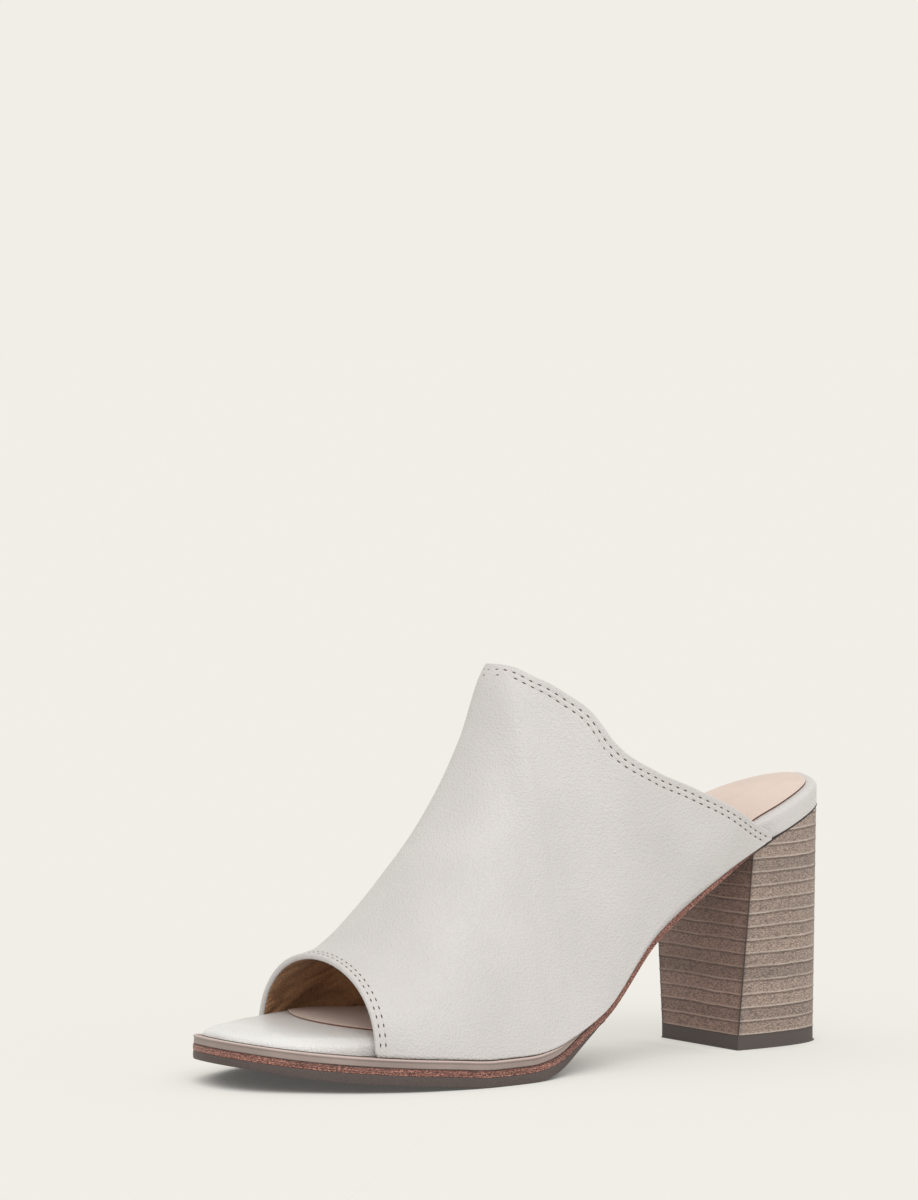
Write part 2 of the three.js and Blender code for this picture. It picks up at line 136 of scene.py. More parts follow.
# Where the quarters leave the footbed bare, and where it is tucked in under them up to the toe opening
BARE_HEEL_END = (QUARTER_END - 2, QUARTER_END + 0.5)
TUCK_START = (QUARTER_END - 9, QUARTER_END + 3)
TUCK_PAST_OPENING = (1, 5)
# Steps over which slopes are measured: along the shoe, up the arches and round the outline
STEP_ALONG, STEP_ROUND, STEP_OUTLINE = 0.25, 0.004, 0.02
# Powers that crowd the points of a flat face towards its rim and those of the collar towards its peak
RIM_CROWDING, COLLAR_CROWDING = 1.3, 1.3
# Points on the fine curves that the collar and the heel's back are resampled from
COLLAR_FINE, HEEL_FINE = 600, 1600
# Points along each piece: stations of the sole's layers, and rows of the quarters and the vamp
FOOTBED_STATIONS, SOCK_STATIONS, MIDSOLE_STATIONS, FOREPART_STATIONS = 180, 160, 190, 150
LEATHER_ROWS, LINING_ROWS = (64, 90), (56, 80)


def end_slope(near, following, slope, next_slope):
    """Slope at the end of a table from its first two steps, held back so that the curve doesn't turn."""
    value = ((2 * near + following) * slope - near * next_slope) / (near + following)
    if value * slope <= 0:
        return 0.0
    if slope * next_slope <= 0 and abs(value) > abs(3 * slope):
        return 3 * slope
    return value


def through(places, values):
    """Curve through a table with no overshoot: cubic pieces whose slopes are weighted harmonic means."""
    places, values = np.asarray(places, float), np.asarray(values, float)
    steps = np.diff(places)
    slopes = np.diff(values) / steps
    tangents = np.zeros(len(places))
    before, after = slopes[:-1], slopes[1:]
    same = before * after > 0
    a, b = 2 * steps[1:] + steps[:-1], steps[1:] + 2 * steps[:-1]
    inner = np.zeros(len(before))
    inner[same] = (a + b)[same] / (a[same] / before[same] + b[same] / after[same])
    tangents[1:-1] = inner
    tangents[0] = end_slope(steps[0], steps[1], slopes[0], slopes[1])
    tangents[-1] = end_slope(steps[-1], steps[-2], slopes[-1], slopes[-2])

    def curve(place):
        place = np.asarray(place, float)
        i = np.searchsorted(places[1:-1], place)
        t = np.clip((place - places[i]) / steps[i], 0, 1)
        rise = (values[i + 1] - values[i]) * (3 - 2 * t) * t * t
        start = tangents[i] * steps[i] * t * (1 - t) ** 2
        end = tangents[i + 1] * steps[i] * t * t * (1 - t)
        below = np.minimum(place - places[0], 0) * tangents[0]
        above = np.maximum(place - places[-1], 0) * tangents[-1]
        return values[i] + rise + start - end + below + above

    return curve


def curves_of(table):
    """A curve through each further column of a table, over the places in its first column."""
    return [through(table[:, 0], column) for column in table[:, 1:].T]


def smooth_step(value, low, high):
    """0 below low, 1 above high, and 3 t squared less 2 t cubed between them."""
    t = np.clip((value - low) / (high - low), 0, 1)
    return t * t * (3 - 2 * t)


def angle_of(share):
    """Angle whose cosine runs from 1 at the heel to -1 at the toe, so that both ends are round."""
    return np.arccos(1 - 2 * np.clip(share, 0, 1))


outer_share = through(angle_of(OUTLINE[:, 0]), OUTLINE[:, 1])
inner_share = through(angle_of(OUTLINE[:, 0]), OUTLINE[:, 2])
pitch_at, spring_at, welt_at, leather_at, bed_at = curves_of(PROFILE)
arch_up, arch_shift, arch_round = curves_of(ARCHES)
flare_out = curves_of(FLARE)[0]


def outer_edge(x):
    return BALL_WIDTH * outer_share(angle_of(x / LENGTH))


def inner_edge(x):
    return BALL_WIDTH * inner_share(angle_of(x / LENGTH))


def seat(x):
    """Height of the sole's top: the stack of layers, the heel's pitch and the toe's spring."""
    heel = (HEEL_SEAT - SOLE_STACK) * pitch_at(x / LENGTH)
    return SOLE_STACK + heel + TOE_SPRING * spring_at(x / LENGTH)


def upright(x, thickness):
    """What a thickness square to the sole measures straight up."""
    return thickness * np.hypot(1, seat(x + 0.5) - seat(x - 0.5))


def welt_depth(x):
    return WELT_THICKNESS * np.clip(welt_at(x / LENGTH), 0, 1)


def leather_depth(x):
    return MIDSOLE_THICKNESS * leather_at(x / LENGTH)


def outsole_depth(x):
    """Depth of the outsole: it grows from a feather behind the ball and thins a little at the toe."""
    share = x / LENGTH
    grown = OUTSOLE_FEATHER + (1 - OUTSOLE_FEATHER) * smooth_step(share, OUTSOLE_START - 0.01, OUTSOLE_FULL)
    thinned = 1 - (1 - OUTSOLE_TIP) * smooth_step(share, OUTSOLE_TIP_START, 1)
    return OUTSOLE_THICKNESS * grown * thinned


def sole_ledge(x):
    """How far the sole stands out past the feather line."""
    return WAIST_LEDGE + (WELT_LEDGE - WAIST_LEDGE) * smooth_step(x / LENGTH, LEDGE_START, LEDGE_FULL)


def opening_place(y):
    return LENGTH * OPENING_SHARE + OPENING_SKEW * y


def footbed_inset(x):
    """How far the footbed's edge lies inside the feather line: a tuck, but only under the upper."""
    past_opening = smooth_step(x - opening_place(BALL_WIDTH / 2), *TUCK_PAST_OPENING)
    return FOOTBED_TUCK * smooth_step(x, *TUCK_START) * (1 - past_opening)


def crown(x, y):
    """Low arch of the footbed across the shoe: half a sine between its edges."""
    share = np.clip((y - inner_edge(x)) / (outer_edge(x) - inner_edge(x) + JOINT), 0, 1)
    return FOOTBED_CROWN * np.sin(np.pi * share)


def bed_top(x, y, more=0.0):
    """Top of the footbed, or a surface that lies more than that over it."""
    return seat(x) + upright(x, FOOTBED_HEIGHT * bed_at(x / LENGTH) + more) + crown(x, y)


def bare_heel(x):
    """1 round the heel, where no quarter covers the footbed's edge, and 0 under the quarters."""
    return 1 - smooth_step(x, *BARE_HEEL_END)


def footbed_low(x, y):
    """Underside of the footbed's wrap: round the heel it is drawn down over the sole's edge."""
    return seat(x) + upright(x, 0.1) - upright(x, WRAP_DROP) * bare_heel(x)


def under_seat(x, depth):
    """Height of a surface that lies a depth, square to the sole, under the sole's top."""
    return seat(x) - upright(x, 1.0) * depth


def midsole_top(x, y):
    recess = np.where(x / LENGTH < WELT_START, 0, welt_depth(x) + LAYER_GAP)
    return under_seat(x, recess + WRAP_DROP * bare_heel(x))


def midsole_low(x, y):
    return under_seat(x, welt_depth(x) + leather_depth(x))


def outsole_top(x, y):
    return under_seat(x, welt_depth(x) + leather_depth(x) + LAYER_GAP)


def outsole_low(x, y):
    """Underside of the outsole, skived at its rear end from a quarter of its depth."""
    skived = np.clip(0.25 + (x - LENGTH * OUTSOLE_START) / SKIVED_LENGTH, 0, 1)
    return under_seat(x, welt_depth(x) + leather_depth(x) + outsole_depth(x) * skived)


def unit(vectors):
    return vectors / np.linalg.norm(vectors, axis=-1, keepdims=True)


def rim(ledge, start, end, stations):
    """Outer and inner rim of the outline moved out by a ledge, and the station that each point belongs to."""
    angle = np.linspace(angle_of(start), angle_of(end), stations + 1)
    x = LENGTH * (1 - np.cos(angle)) / 2
    before, after = np.maximum(angle - STEP_OUTLINE, 0), np.minimum(angle + STEP_OUTLINE, np.pi)
    dx = LENGTH * (np.cos(before) - np.cos(after)) / 2
    tip = (angle < 1e-6) | (angle > np.pi - 1e-6)
    out = ledge(x)
    sides = []
    for edge, side in ((outer_share, 1), (inner_share, -1)):
        dy = BALL_WIDTH * (edge(after) - edge(before))
        size = np.hypot(dx, dy)
        along = np.where(tip, -np.cos(angle), -dy * side / size)
        across = np.where(tip, 0, dx * side / size)
        sides.append(np.stack([x + along * out, BALL_WIDTH * edge(angle) + across * out], 1))
    return sides[0], sides[1], x


def closed_loop(outer, inner, x, low, high, stops=14):
    """One loop round the shoe and the point of the spine that each of its points looks to."""
    def spine(at):
        at = np.clip(at, low, high)
        return np.stack([at, (outer_edge(at) + inner_edge(at)) / 2], 1)

    share = np.linspace(0, 1, stops + 1)[1:-1, None]
    points, targets = [outer], [spine(x)]
    if np.hypot(*(outer[-1] - inner[-1])) > 0.01:
        points.append(outer[-1] + (inner[-1] - outer[-1]) * share)
        targets.append(np.repeat(spine(x[-1:]), stops - 1, 0))
        points.append(inner[::-1])
        targets.append(spine(x[::-1]))
    else:
        points.append(inner[-2::-1])
        targets.append(spine(x[-2::-1]))
    if np.hypot(*(outer[0] - inner[0])) > 0.01:
        points.append(inner[0] + (outer[0] - inner[0]) * share)
        targets.append(np.repeat(spine(x[:1]), stops - 1, 0))
    else:
        points[-1], targets[-1] = points[-1][:-1], targets[-1][:-1]
    return np.concatenate(points), np.concatenate(targets)


def loop_normals(loop):
    """Outward directions of a closed loop that runs clockwise seen from above."""
    ahead = np.roll(loop, -1, 0) - np.roll(loop, 1, 0)
    normal = np.stack([-ahead[:, 1], ahead[:, 0]], 1)
    return normal / np.maximum(np.linalg.norm(normal, axis=1, keepdims=True), 1e-9)


def slab(loop, spine, top, bottom, round_top, round_bottom, rows=12, sides=3, bulge=0.0):
    """Rings from the spine on top, out to the rim, round its edges and back to the spine underneath.

    On the top and bottom a point lies between rim and spine by its share; on an edge it lies on a quarter
    circle of the edge's radius; on the side it moves out by the bulge times a half sine.
    """
    normals = loop_normals(loop)
    round_top = np.broadcast_to(round_top, len(loop))
    round_bottom = np.broadcast_to(round_bottom, len(loop))
    rings = []

    def ring(place, height):
        rings.append(np.column_stack([place, height]))

    def flat(height, radius, shares):
        edge = loop - normals * radius[:, None]
        for share in shares:
            place = edge + (spine - edge) * share
            ring(place, height(place[:, 0], place[:, 1]))

    shares = np.linspace(1, 0, rows + 1) ** RIM_CROWDING
    corner = np.linspace(0, np.pi / 2, 5)
    flat(top, round_top, shares)
    for turn in corner[1:]:
        place = loop - normals * (round_top * (1 - np.sin(turn)))[:, None]
        ring(place, top(place[:, 0], place[:, 1]) - round_top * (1 - np.cos(turn)))
    high = top(loop[:, 0], loop[:, 1]) - round_top
    low = bottom(loop[:, 0], loop[:, 1]) + round_bottom
    for share in np.linspace(0, 1, sides + 1)[1:-1]:
        ring(loop + normals * bulge * np.sin(np.pi * share), high + (low - high) * share)
    for turn in corner[:0:-1]:
        place = loop - normals * (round_bottom * (1 - np.sin(turn)))[:, None]
        ring(place, bottom(place[:, 0], place[:, 1]) + round_bottom * (1 - np.cos(turn)))
    flat(bottom, round_bottom, shares[::-1])
    return np.stack(rings)


def grid_faces(rows, columns, closed=True):
    """Quads of a grid of points, row by row, joined round when it is closed."""
    j = np.arange(columns if closed else columns - 1)
    a = (np.arange(rows - 1)[:, None] * columns + j).ravel()
    b = (np.arange(rows - 1)[:, None] * columns + (j + 1) % columns).ravel()
    return np.stack([a, b, b + columns, a + columns], 1)


def capped(rings):
    """The rings with each end closed by a ring drawn together in its middle."""
    first, last = (np.repeat(rings[[k]].mean(1, keepdims=True), rings.shape[1], 1) for k in (0, -1))
    return np.concatenate([first, rings, last])


def volume_of(points, faces):
    """Signed volume under the faces: the sum of the triple products of their triangles, over six."""
    total = 0.0
    for a, b, c in ((0, 1, 2), (0, 2, 3)):
        p, q, r = points[faces[:, a]], points[faces[:, b]], points[faces[:, c]]
        total += np.einsum("ij,ij->", p, np.cross(q, r))
    return total / 6


def into_frame(points):
    """Millimetres of the last to metres of the frame."""
    return (np.asarray(points, float) + (ORIGIN_X, ORIGIN_Y, 0)) * MM


# Points closer than the weld, in metres, become one, and a sharp piece's edges turn by more than the angle
WELD = 2e-6
SHARP_ANGLE = np.radians(50)


def make_piece(name, points, faces, material, node=None, values=None, sharp=False):
    """Puts points and quads into a mesh, closes its seams, turns it outwards, hangs it under the root body
    and hides the frame's part it replaces.
    """
    points = into_frame(points.reshape(-1, 3))
    if volume_of(points, faces) < 0:
        faces = faces[:, ::-1]
    mesh = bpy.data.meshes.new(name)
    mesh.vertices.add(len(points))
    mesh.vertices.foreach_set("co", points.ravel())
    mesh.loops.add(faces.size)
    mesh.loops.foreach_set("vertex_index", faces.ravel())
    mesh.polygons.add(len(faces))
    mesh.polygons.foreach_set("loop_start", np.arange(0, faces.size, 4))
    mesh.update(calc_edges=True)
    for key, numbers in (values or {}).items():
        layer = mesh.attributes.new(key, "FLOAT", "POINT")
        layer.data.foreach_set("value", np.ravel(numbers).astype(np.float32))
    work = bmesh.new()
    work.from_mesh(mesh)
    bmesh.ops.remove_doubles(work, verts=work.verts, dist=WELD)
    bmesh.ops.dissolve_degenerate(work, edges=work.edges, dist=1e-7)
    work.to_mesh(mesh)
    work.free()
    mesh.polygons.foreach_set("use_smooth", np.ones(len(mesh.polygons), bool))
    if sharp:
        mesh.set_sharp_from_angle(angle=SHARP_ANGLE)
    mesh.materials.append(material)
    mesh.validate()
    piece = bpy.data.objects.new(name, mesh)
    bpy.context.scene.collection.objects.link(piece)
    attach(piece, "root")
    if node:
        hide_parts(node)


def make_rings(name, rings, material, node=None, values=None, sharp=False):
    """A piece of closed rings, joined one to the next."""
    make_piece(name, rings, grid_faces(*rings.shape[:2]), material, node, values, sharp)


def arch(x, side, angle):
    """Point of the upper's face towards the foot; the wall stands outside it.

    Angle 0 is the feather line and a right angle the ridge. Across, the cosine of the angle leads from
    the ridge to the feather line; up, its sine raised to 2 over the roundness leads from the sole to
    the ridge; a low lean is added near the quarters' ends.
    """
    share = x / LENGTH
    middle = BALL_WIDTH * arch_shift(share)
    foot = np.where(side > 0, outer_edge(x), inner_edge(x))
    base = upright(x, JOINT)
    sine = np.clip(np.sin(angle), 0, 1)
    up = base + (VAMP_HEIGHT * arch_up(share) - base) * sine ** (2 / arch_round(share))
    lean = np.sin(np.pi / 2 * np.minimum(1, up / FLARE_HEIGHT))
    out = side * BALL_WIDTH * flare_out(share) * lean
    return np.stack([x, middle + (foot - middle) * np.cos(angle) + out, seat(x) + up], -1)


def arch_normal(x, side, angle):
    """Outward direction of the face: the cross product of its slopes along the shoe and up the arch."""
    low = np.clip(angle - STEP_ROUND, STEP_ROUND / 8, np.pi / 2)
    high = np.clip(angle + STEP_ROUND, STEP_ROUND / 4, np.pi / 2)
    along = arch(x + STEP_ALONG, side, angle) - arch(x - STEP_ALONG, side, angle)
    around = arch(x, side, high) - arch(x, side, low)
    normal = np.cross(along, around) * -np.asarray(side, float)[..., None]
    return normal / np.maximum(np.linalg.norm(normal, axis=-1, keepdims=True), 1e-12)


def on_arch(point, side):
    """The arch's own place for a point close to it: x, side and angle.

    The angle is the one whose sine and cosine fit the point's height and width on the arch.
    """
    x, y, z = point[..., 0], point[..., 1], point[..., 2]
    share = x / LENGTH
    middle = BALL_WIDTH * arch_shift(share)
    side = np.where(np.abs(y - middle) < 0.3, side, np.sign(y - middle))
    foot = np.where(side > 0, outer_edge(x), inner_edge(x))
    base = upright(x, JOINT)
    up = np.clip((z - seat(x) - base) / (VAMP_HEIGHT * arch_up(share) - base), 0, 1)
    lean = np.sin(np.pi / 2 * np.clip((z - seat(x)) / FLARE_HEIGHT, 0, 1))
    out = side * BALL_WIDTH * flare_out(share) * lean
    angle = np.arctan2(up ** (arch_round(share) / 2), np.maximum((y - out - middle) / (foot - middle), 0))
    return x, side, np.clip(angle, 0, np.pi / 2)


def even(curve, count=None, step=None):
    """The curve resampled at equal lengths, so many or about so long."""
    length = np.concatenate([[0], np.cumsum(np.linalg.norm(np.diff(curve, axis=0), axis=1))])
    count = count or max(2, int(round(length[-1] / step)))
    at = np.linspace(0, length[-1], count + 1)
    return np.stack([np.interp(at, length, curve[:, k]) for k in range(curve.shape[1])], 1)


def collar_half(column, side, stations):
    """One half of the collar from the peak to its rear end: places along, sides and angles."""
    x, up = COLLAR[:, 0] * LENGTH, COLLAR[:, column] * VAMP_HEIGHT
    run = np.concatenate([[0], np.cumsum(np.hypot(np.diff(x), np.diff(up)) ** 0.5)])
    fine = np.linspace(0, run[-1], COLLAR_FINE)
    curve = even(np.stack([through(run, x)(fine), through(run, up)(fine)], 1), COLLAR_FINE)
    length = np.linspace(0, 1, stations + 1) ** COLLAR_CROWDING * COLLAR_FINE
    x, up = (np.interp(length, np.arange(COLLAR_FINE + 1), curve[:, k]) for k in range(2))
    base = upright(x, JOINT)
    share = np.clip((up - base) / (VAMP_HEIGHT * arch_up(x / LENGTH) - base), 0, 1)
    return x, np.full(len(x), float(side)), np.arcsin(share ** (arch_round(x / LENGTH) / 2))


def collar_path(stations=240):
    """The whole collar from the outer rear end over the peak to the inner one."""
    outer, inner = collar_half(1, 1, stations), collar_half(2, -1, stations)
    return [np.concatenate([a[::-1], b[1:]]) for a, b in zip(outer, inner)]


def opening_path(stations=120):
    """The toe opening's edge from the outer feather line over the ridge to the inner one."""
    turn = np.linspace(0, np.pi, 2 * stations + 1)
    side = np.where(turn <= np.pi / 2, 1.0, -1.0)
    angle = np.where(turn <= np.pi / 2, turn, np.pi - turn)
    flat = arch(np.full(len(turn), LENGTH * OPENING_SHARE), side, angle)
    return opening_place(flat[:, 1]), side, angle


def inset(path, distance, inward, steps=6):
    """A path on the arches moved into the leather: in small steps along the face, each square to the path."""
    x, side, angle = path
    for _ in range(steps):
        points = arch(x, side, angle)
        tangent = np.gradient(points, axis=0)
        tangent /= np.maximum(np.linalg.norm(tangent, axis=1, keepdims=True), 1e-9)
        aside = np.cross(arch_normal(x, side, angle), tangent)
        aside *= np.sign(np.sum(aside * inward(points), 1, keepdims=True) + 1e-12)
        x, side, angle = on_arch(points + aside * distance / steps, side)
    return x, side, angle


def down_and_forward(points):
    return np.tile((1.0, 0.0, -1.0), (len(points), 1))


def backward(points):
    return np.tile((-1.0, 0.0, 0.0), (len(points), 1))


def crowded(length, rows, near=14, reach=5.5):
    """Shares from 0 to 1 whose last steps are short: so many of them lie within the reach of the end."""
    part = np.minimum(0.5, reach / np.maximum(np.asarray(length, float), 1e-6))[..., None]
    step = np.arange(rows + 1)
    far = rows - near
    return np.where(step <= far, (1 - part) * step / far, 1 - part + part * (step - far) / near)


REAR_OUTER, REAR_INNER, VAMP = range(3)


def upper_grid(edge, rows, vamp_rows):
    """Outer face in three blocks, rear outer, rear inner and vamp, each a grid of places, sides and angles.

    The rear blocks lead from the collar down to the sole, and the vamp from the peak to the toe opening.
    """
    x, _, angle = inset(collar_path(), edge, down_and_forward)
    opening_x, opening_side, opening_angle = inset(opening_path(), edge, backward)
    peak = int(np.argmax(x))
    blocks = []
    for half, sign in ((slice(peak, None, -1), 1.0), (slice(peak, None), -1.0)):
        rear_x, rear_angle = x[half], angle[half].copy()
        rear_angle[0] = np.pi / 2
        places = np.repeat(rear_x[:, None], rows + 1, 1)
        top, foot = (arch(rear_x, np.full(len(rear_x), sign), turn) for turn in (rear_angle, rear_angle * 0))
        height = top[:, 2] - foot[:, 2]
        blocks.append((places, np.full(places.shape, sign), rear_angle[:, None] * crowded(height, rows)))
    quarter = blocks[REAR_OUTER][2][0]
    turn = np.concatenate([quarter, np.pi - quarter[-2::-1]])
    vamp_side = np.where(turn <= np.pi / 2, 1.0, -1.0)
    vamp_angle = np.where(turn <= np.pi / 2, turn, np.pi - turn)
    whole = np.where(opening_side > 0, opening_angle, np.pi - opening_angle)
    order = np.argsort(whole)
    front = np.interp(turn, whole[order], opening_x[order])
    along = crowded(front.mean() - x[peak], vamp_rows)[:, None]
    places = x[peak] + (front - x[peak]) * along
    sides, angles = (np.broadcast_to(each, places.shape) for each in (vamp_side, vamp_angle))
    blocks.append((places, sides, angles))
    return blocks


def distance_to(points, path):
    """Distance of each point to the nearest point of a path on the arches."""
    line = arch(*path)
    flat = points.reshape(-1, 3)
    near = [np.linalg.norm(part[:, None] - line, axis=2).min(1) for part in np.array_split(flat, 40)]
    return np.concatenate(near).reshape(points.shape[:-1])


def sewn_rows(sewing):
    """The rows of stitches: the edge that they follow, the way into the leather and their distances."""
    return (
        (collar_path(), down_and_forward, (sewing.collar_near / MM, sewing.collar_far / MM)),
        (opening_path(), backward, (sewing.toe_near / MM, sewing.toe_far / MM)),
    )


def seam_dents(points, rows, depth=0.2, width=0.42):
    """How deep the stitches pull the leather in: a bell curve of the distance to each row."""
    dent = np.zeros(points.shape[:-1])
    for path, _, distances in rows:
        away = distance_to(points, path)
        for distance in distances:
            dent += depth * np.exp(-((away - distance) / width) ** 2)
    return dent


def shell(blocks, outside, inside, ripple=None, dents=None):
    """A wall between two depths under the upper's outer skin, with its free edges closed.

    Every block gives an outer grid, and an inner grid on the same places; strips join them along the edges.
    The depths are measured from the skin, which is a wall's thickness outside the arches.
    """
    points, faces = [], []
    first = 0
    for number, (x, side, angle) in enumerate(blocks):
        face, normal = arch(x, side, angle), arch_normal(x, side, angle)
        dent = dents(face) if dents else 0 * x
        wave = ripple(x, side, angle) if ripple else 0 * x
        outer = face + normal * (UPPER_WALL - outside - dent)[..., None]
        inner = face + normal * (UPPER_WALL - inside + wave)[..., None]
        foot = seat(x) + upright(x, JOINT)
        for wall in (outer, inner):
            wall[..., 2] = np.where(angle < 1e-9, foot, np.maximum(wall[..., 2], foot))
        quads = grid_faces(*x.shape, closed=False)
        if number == REAR_OUTER:
            quads = quads[:, ::-1]
        faces += [quads + first, quads[:, ::-1] + first + x.size]
        index = np.arange(x.size).reshape(x.shape)
        borders = {
            REAR_OUTER: (index[:, 0], index[::-1, -1], index[-1]),
            REAR_INNER: (index[::-1, 0], index[:, -1], index[-1, ::-1]),
            VAMP: (index[::-1, 0], index[-1, ::-1], index[:, -1]),
        }[number]
        for border in borders:
            a, b = border[:-1] + first, border[1:] + first
            faces.append(np.stack([a, a + x.size, b + x.size, b], 1))
        points += [outer.reshape(-1, 3), inner.reshape(-1, 3)]
        first += 2 * x.size
    return np.concatenate(points), np.concatenate(faces)


# Share of the folded edge's radius that lies inside the frame's own edge
EDGE_SINK = 0.5
# How far the folded edge stands out on each face of the leather
EDGE_SWELL = 0.05


def tube(curve, normal, across, width, height, around=14):
    """An elliptic profile carried along a curve, with its ends drawn to a point."""
    turn = np.linspace(0, 2 * np.pi, around, endpoint=False)
    count = len(curve)
    fade = np.minimum(1, np.minimum(np.arange(count), np.arange(count)[::-1]) / 3) ** 0.5
    side = across[:, None] * np.cos(turn)[None, :, None] * width
    rise = normal[:, None] * np.sin(turn)[None, :, None] * height
    return curve[:, None] + (side + rise) * fade[:, None, None]


def edge_roll(name, path, inward, radius, material):
    """The folded edge of the leather: a round bead along a path, with its middle in the wall's middle."""
    x, side, angle = inset(path, radius * EDGE_SINK, inward)
    points, normal = arch(x, side, angle), arch_normal(x, side, angle)
    across = np.cross(normal, unit(np.gradient(points, axis=0)))
    rings = tube(points + normal * UPPER_WALL / 2, normal, across, radius, UPPER_WALL / 2 + EDGE_SWELL)
    floor = seat(rings[..., 0]) + upright(rings[..., 0], JOINT)
    rings[..., 2] = np.maximum(rings[..., 2], floor)
    make_rings(name, rings, material)


def shade(colour, factor):
    return tuple(min(1.0, part * factor) for part in colour)


# Tints that leave a colour as it is and that take it all away, and the colour of dark seams
PLAIN = (1, 1, 1)
NONE = (0, 0, 0)
SEAM_DARK = (0.03, 0.022, 0.02)
# Clouds and pores of the leather, and clouds of the cut edges and of the heel, in cells a metre
CLOUDS, PORES, EDGE_CLOUDS, HEEL_CLOUDS, HEEL_SPECKS = 38.0, 900.0, 60.0, 55.0, 1050.0
# Size of a wrinkle along, across and up in metres, and its lean
WRINKLE, WRINKLE_LEAN = (0.026, 0.017, 0.0055), (0.0, 0.5, 0.0)
# How the specks of cut leather and rubber stand out, in metres
SPECK_RELIEF = 0.0003


class Finish:
    """A material, and short hands for the nodes that lead to its shader."""

    def __init__(self, name, roughness, sheen=0.0, coat=0.0):
        self.material = bpy.data.materials.new(name)
        self.material.use_nodes = True
        self.tree = self.material.node_tree
        self.shader = self.tree.nodes["Principled BSDF"]
        self.shader.inputs["Roughness"].default_value = roughness
        self.shader.inputs["Sheen Weight"].default_value = sheen
        self.shader.inputs["Coat Weight"].default_value = coat

    def node(self, kind, inputs=None, **settings):
        """A node with its settings; an input is a number, or the socket that leads into it."""
        node = self.tree.nodes.new(kind)
        for key, value in settings.items():
            setattr(node, key, value)
        for key, value in (inputs or {}).items():
            if isinstance(value, bpy.types.NodeSocket):
                self.tree.links.new(value, node.inputs[key])
            else:
                node.inputs[key].default_value = value
        return node

    def place(self):
        return self.node("ShaderNodeTexCoord").outputs["Object"]

    def attribute(self, name):
        return self.node("ShaderNodeAttribute", attribute_name=name).outputs["Fac"]

    def axes(self, vector):
        """The three parts of a vector."""
        return self.node("ShaderNodeSeparateXYZ", {"Vector": vector}).outputs

    def stretched(self, vector, scale, vector_type="POINT", rotation=(0.0, 0.0, 0.0)):
        inputs = {"Vector": vector, "Scale": scale, "Rotation": rotation}
        return self.node("ShaderNodeMapping", inputs, vector_type=vector_type).outputs["Vector"]

    def noise(self, vector, scale, detail, roughness=0.5, distortion=0.0):
        inputs = {"Vector": vector, "Scale": scale, "Detail": detail}
        inputs |= {"Roughness": roughness, "Distortion": distortion}
        return self.node("ShaderNodeTexNoise", inputs).outputs["Fac"]

    def math(self, operation, *parts):
        return self.node("ShaderNodeMath", dict(enumerate(parts)), operation=operation).outputs[0]

    def span(self, value, **ends):
        """A value led from one range to another: from_min, from_max, to_min and to_max."""
        inputs = {key.replace("_", " ").title(): end for key, end in ends.items()}
        return self.node("ShaderNodeMapRange", {"Value": value} | inputs).outputs["Result"]

    def ramp(self, value, stops, mode="EASE"):
        node = self.node("ShaderNodeValToRGB", {"Fac": value})
        node.color_ramp.interpolation = mode
        while len(node.color_ramp.elements) < len(stops):
            node.color_ramp.elements.new(0.5)
        for element, (at, colour) in zip(node.color_ramp.elements, stops):
            element.position = at
            element.color = (*colour, 1.0)
        return node.outputs["Color"]

    def times(self, base, tint, share):
        """The base multiplied by a tint, as far as the share says."""
        inputs = {0: share, "A": base, "B": tint}
        return self.node("ShaderNodeMix", inputs, data_type="RGBA", blend_type="MULTIPLY").outputs["Result"]

    def turned(self, base, other, share):
        """The base turned to another colour, as far as the share says."""
        inputs = {"Factor": share, "A": base, "B": other}
        return self.node("ShaderNodeMix", inputs, data_type="RGBA").outputs["Result"]

    def lead(self, value, key):
        """Leads a socket into the shader."""
        self.tree.links.new(value, self.shader.inputs[key])

    def relief(self, height, strength, distance):
        inputs = {"Strength": strength, "Distance": distance, "Height": height}
        self.lead(self.node("ShaderNodeBump", inputs).outputs["Normal"], "Normal")


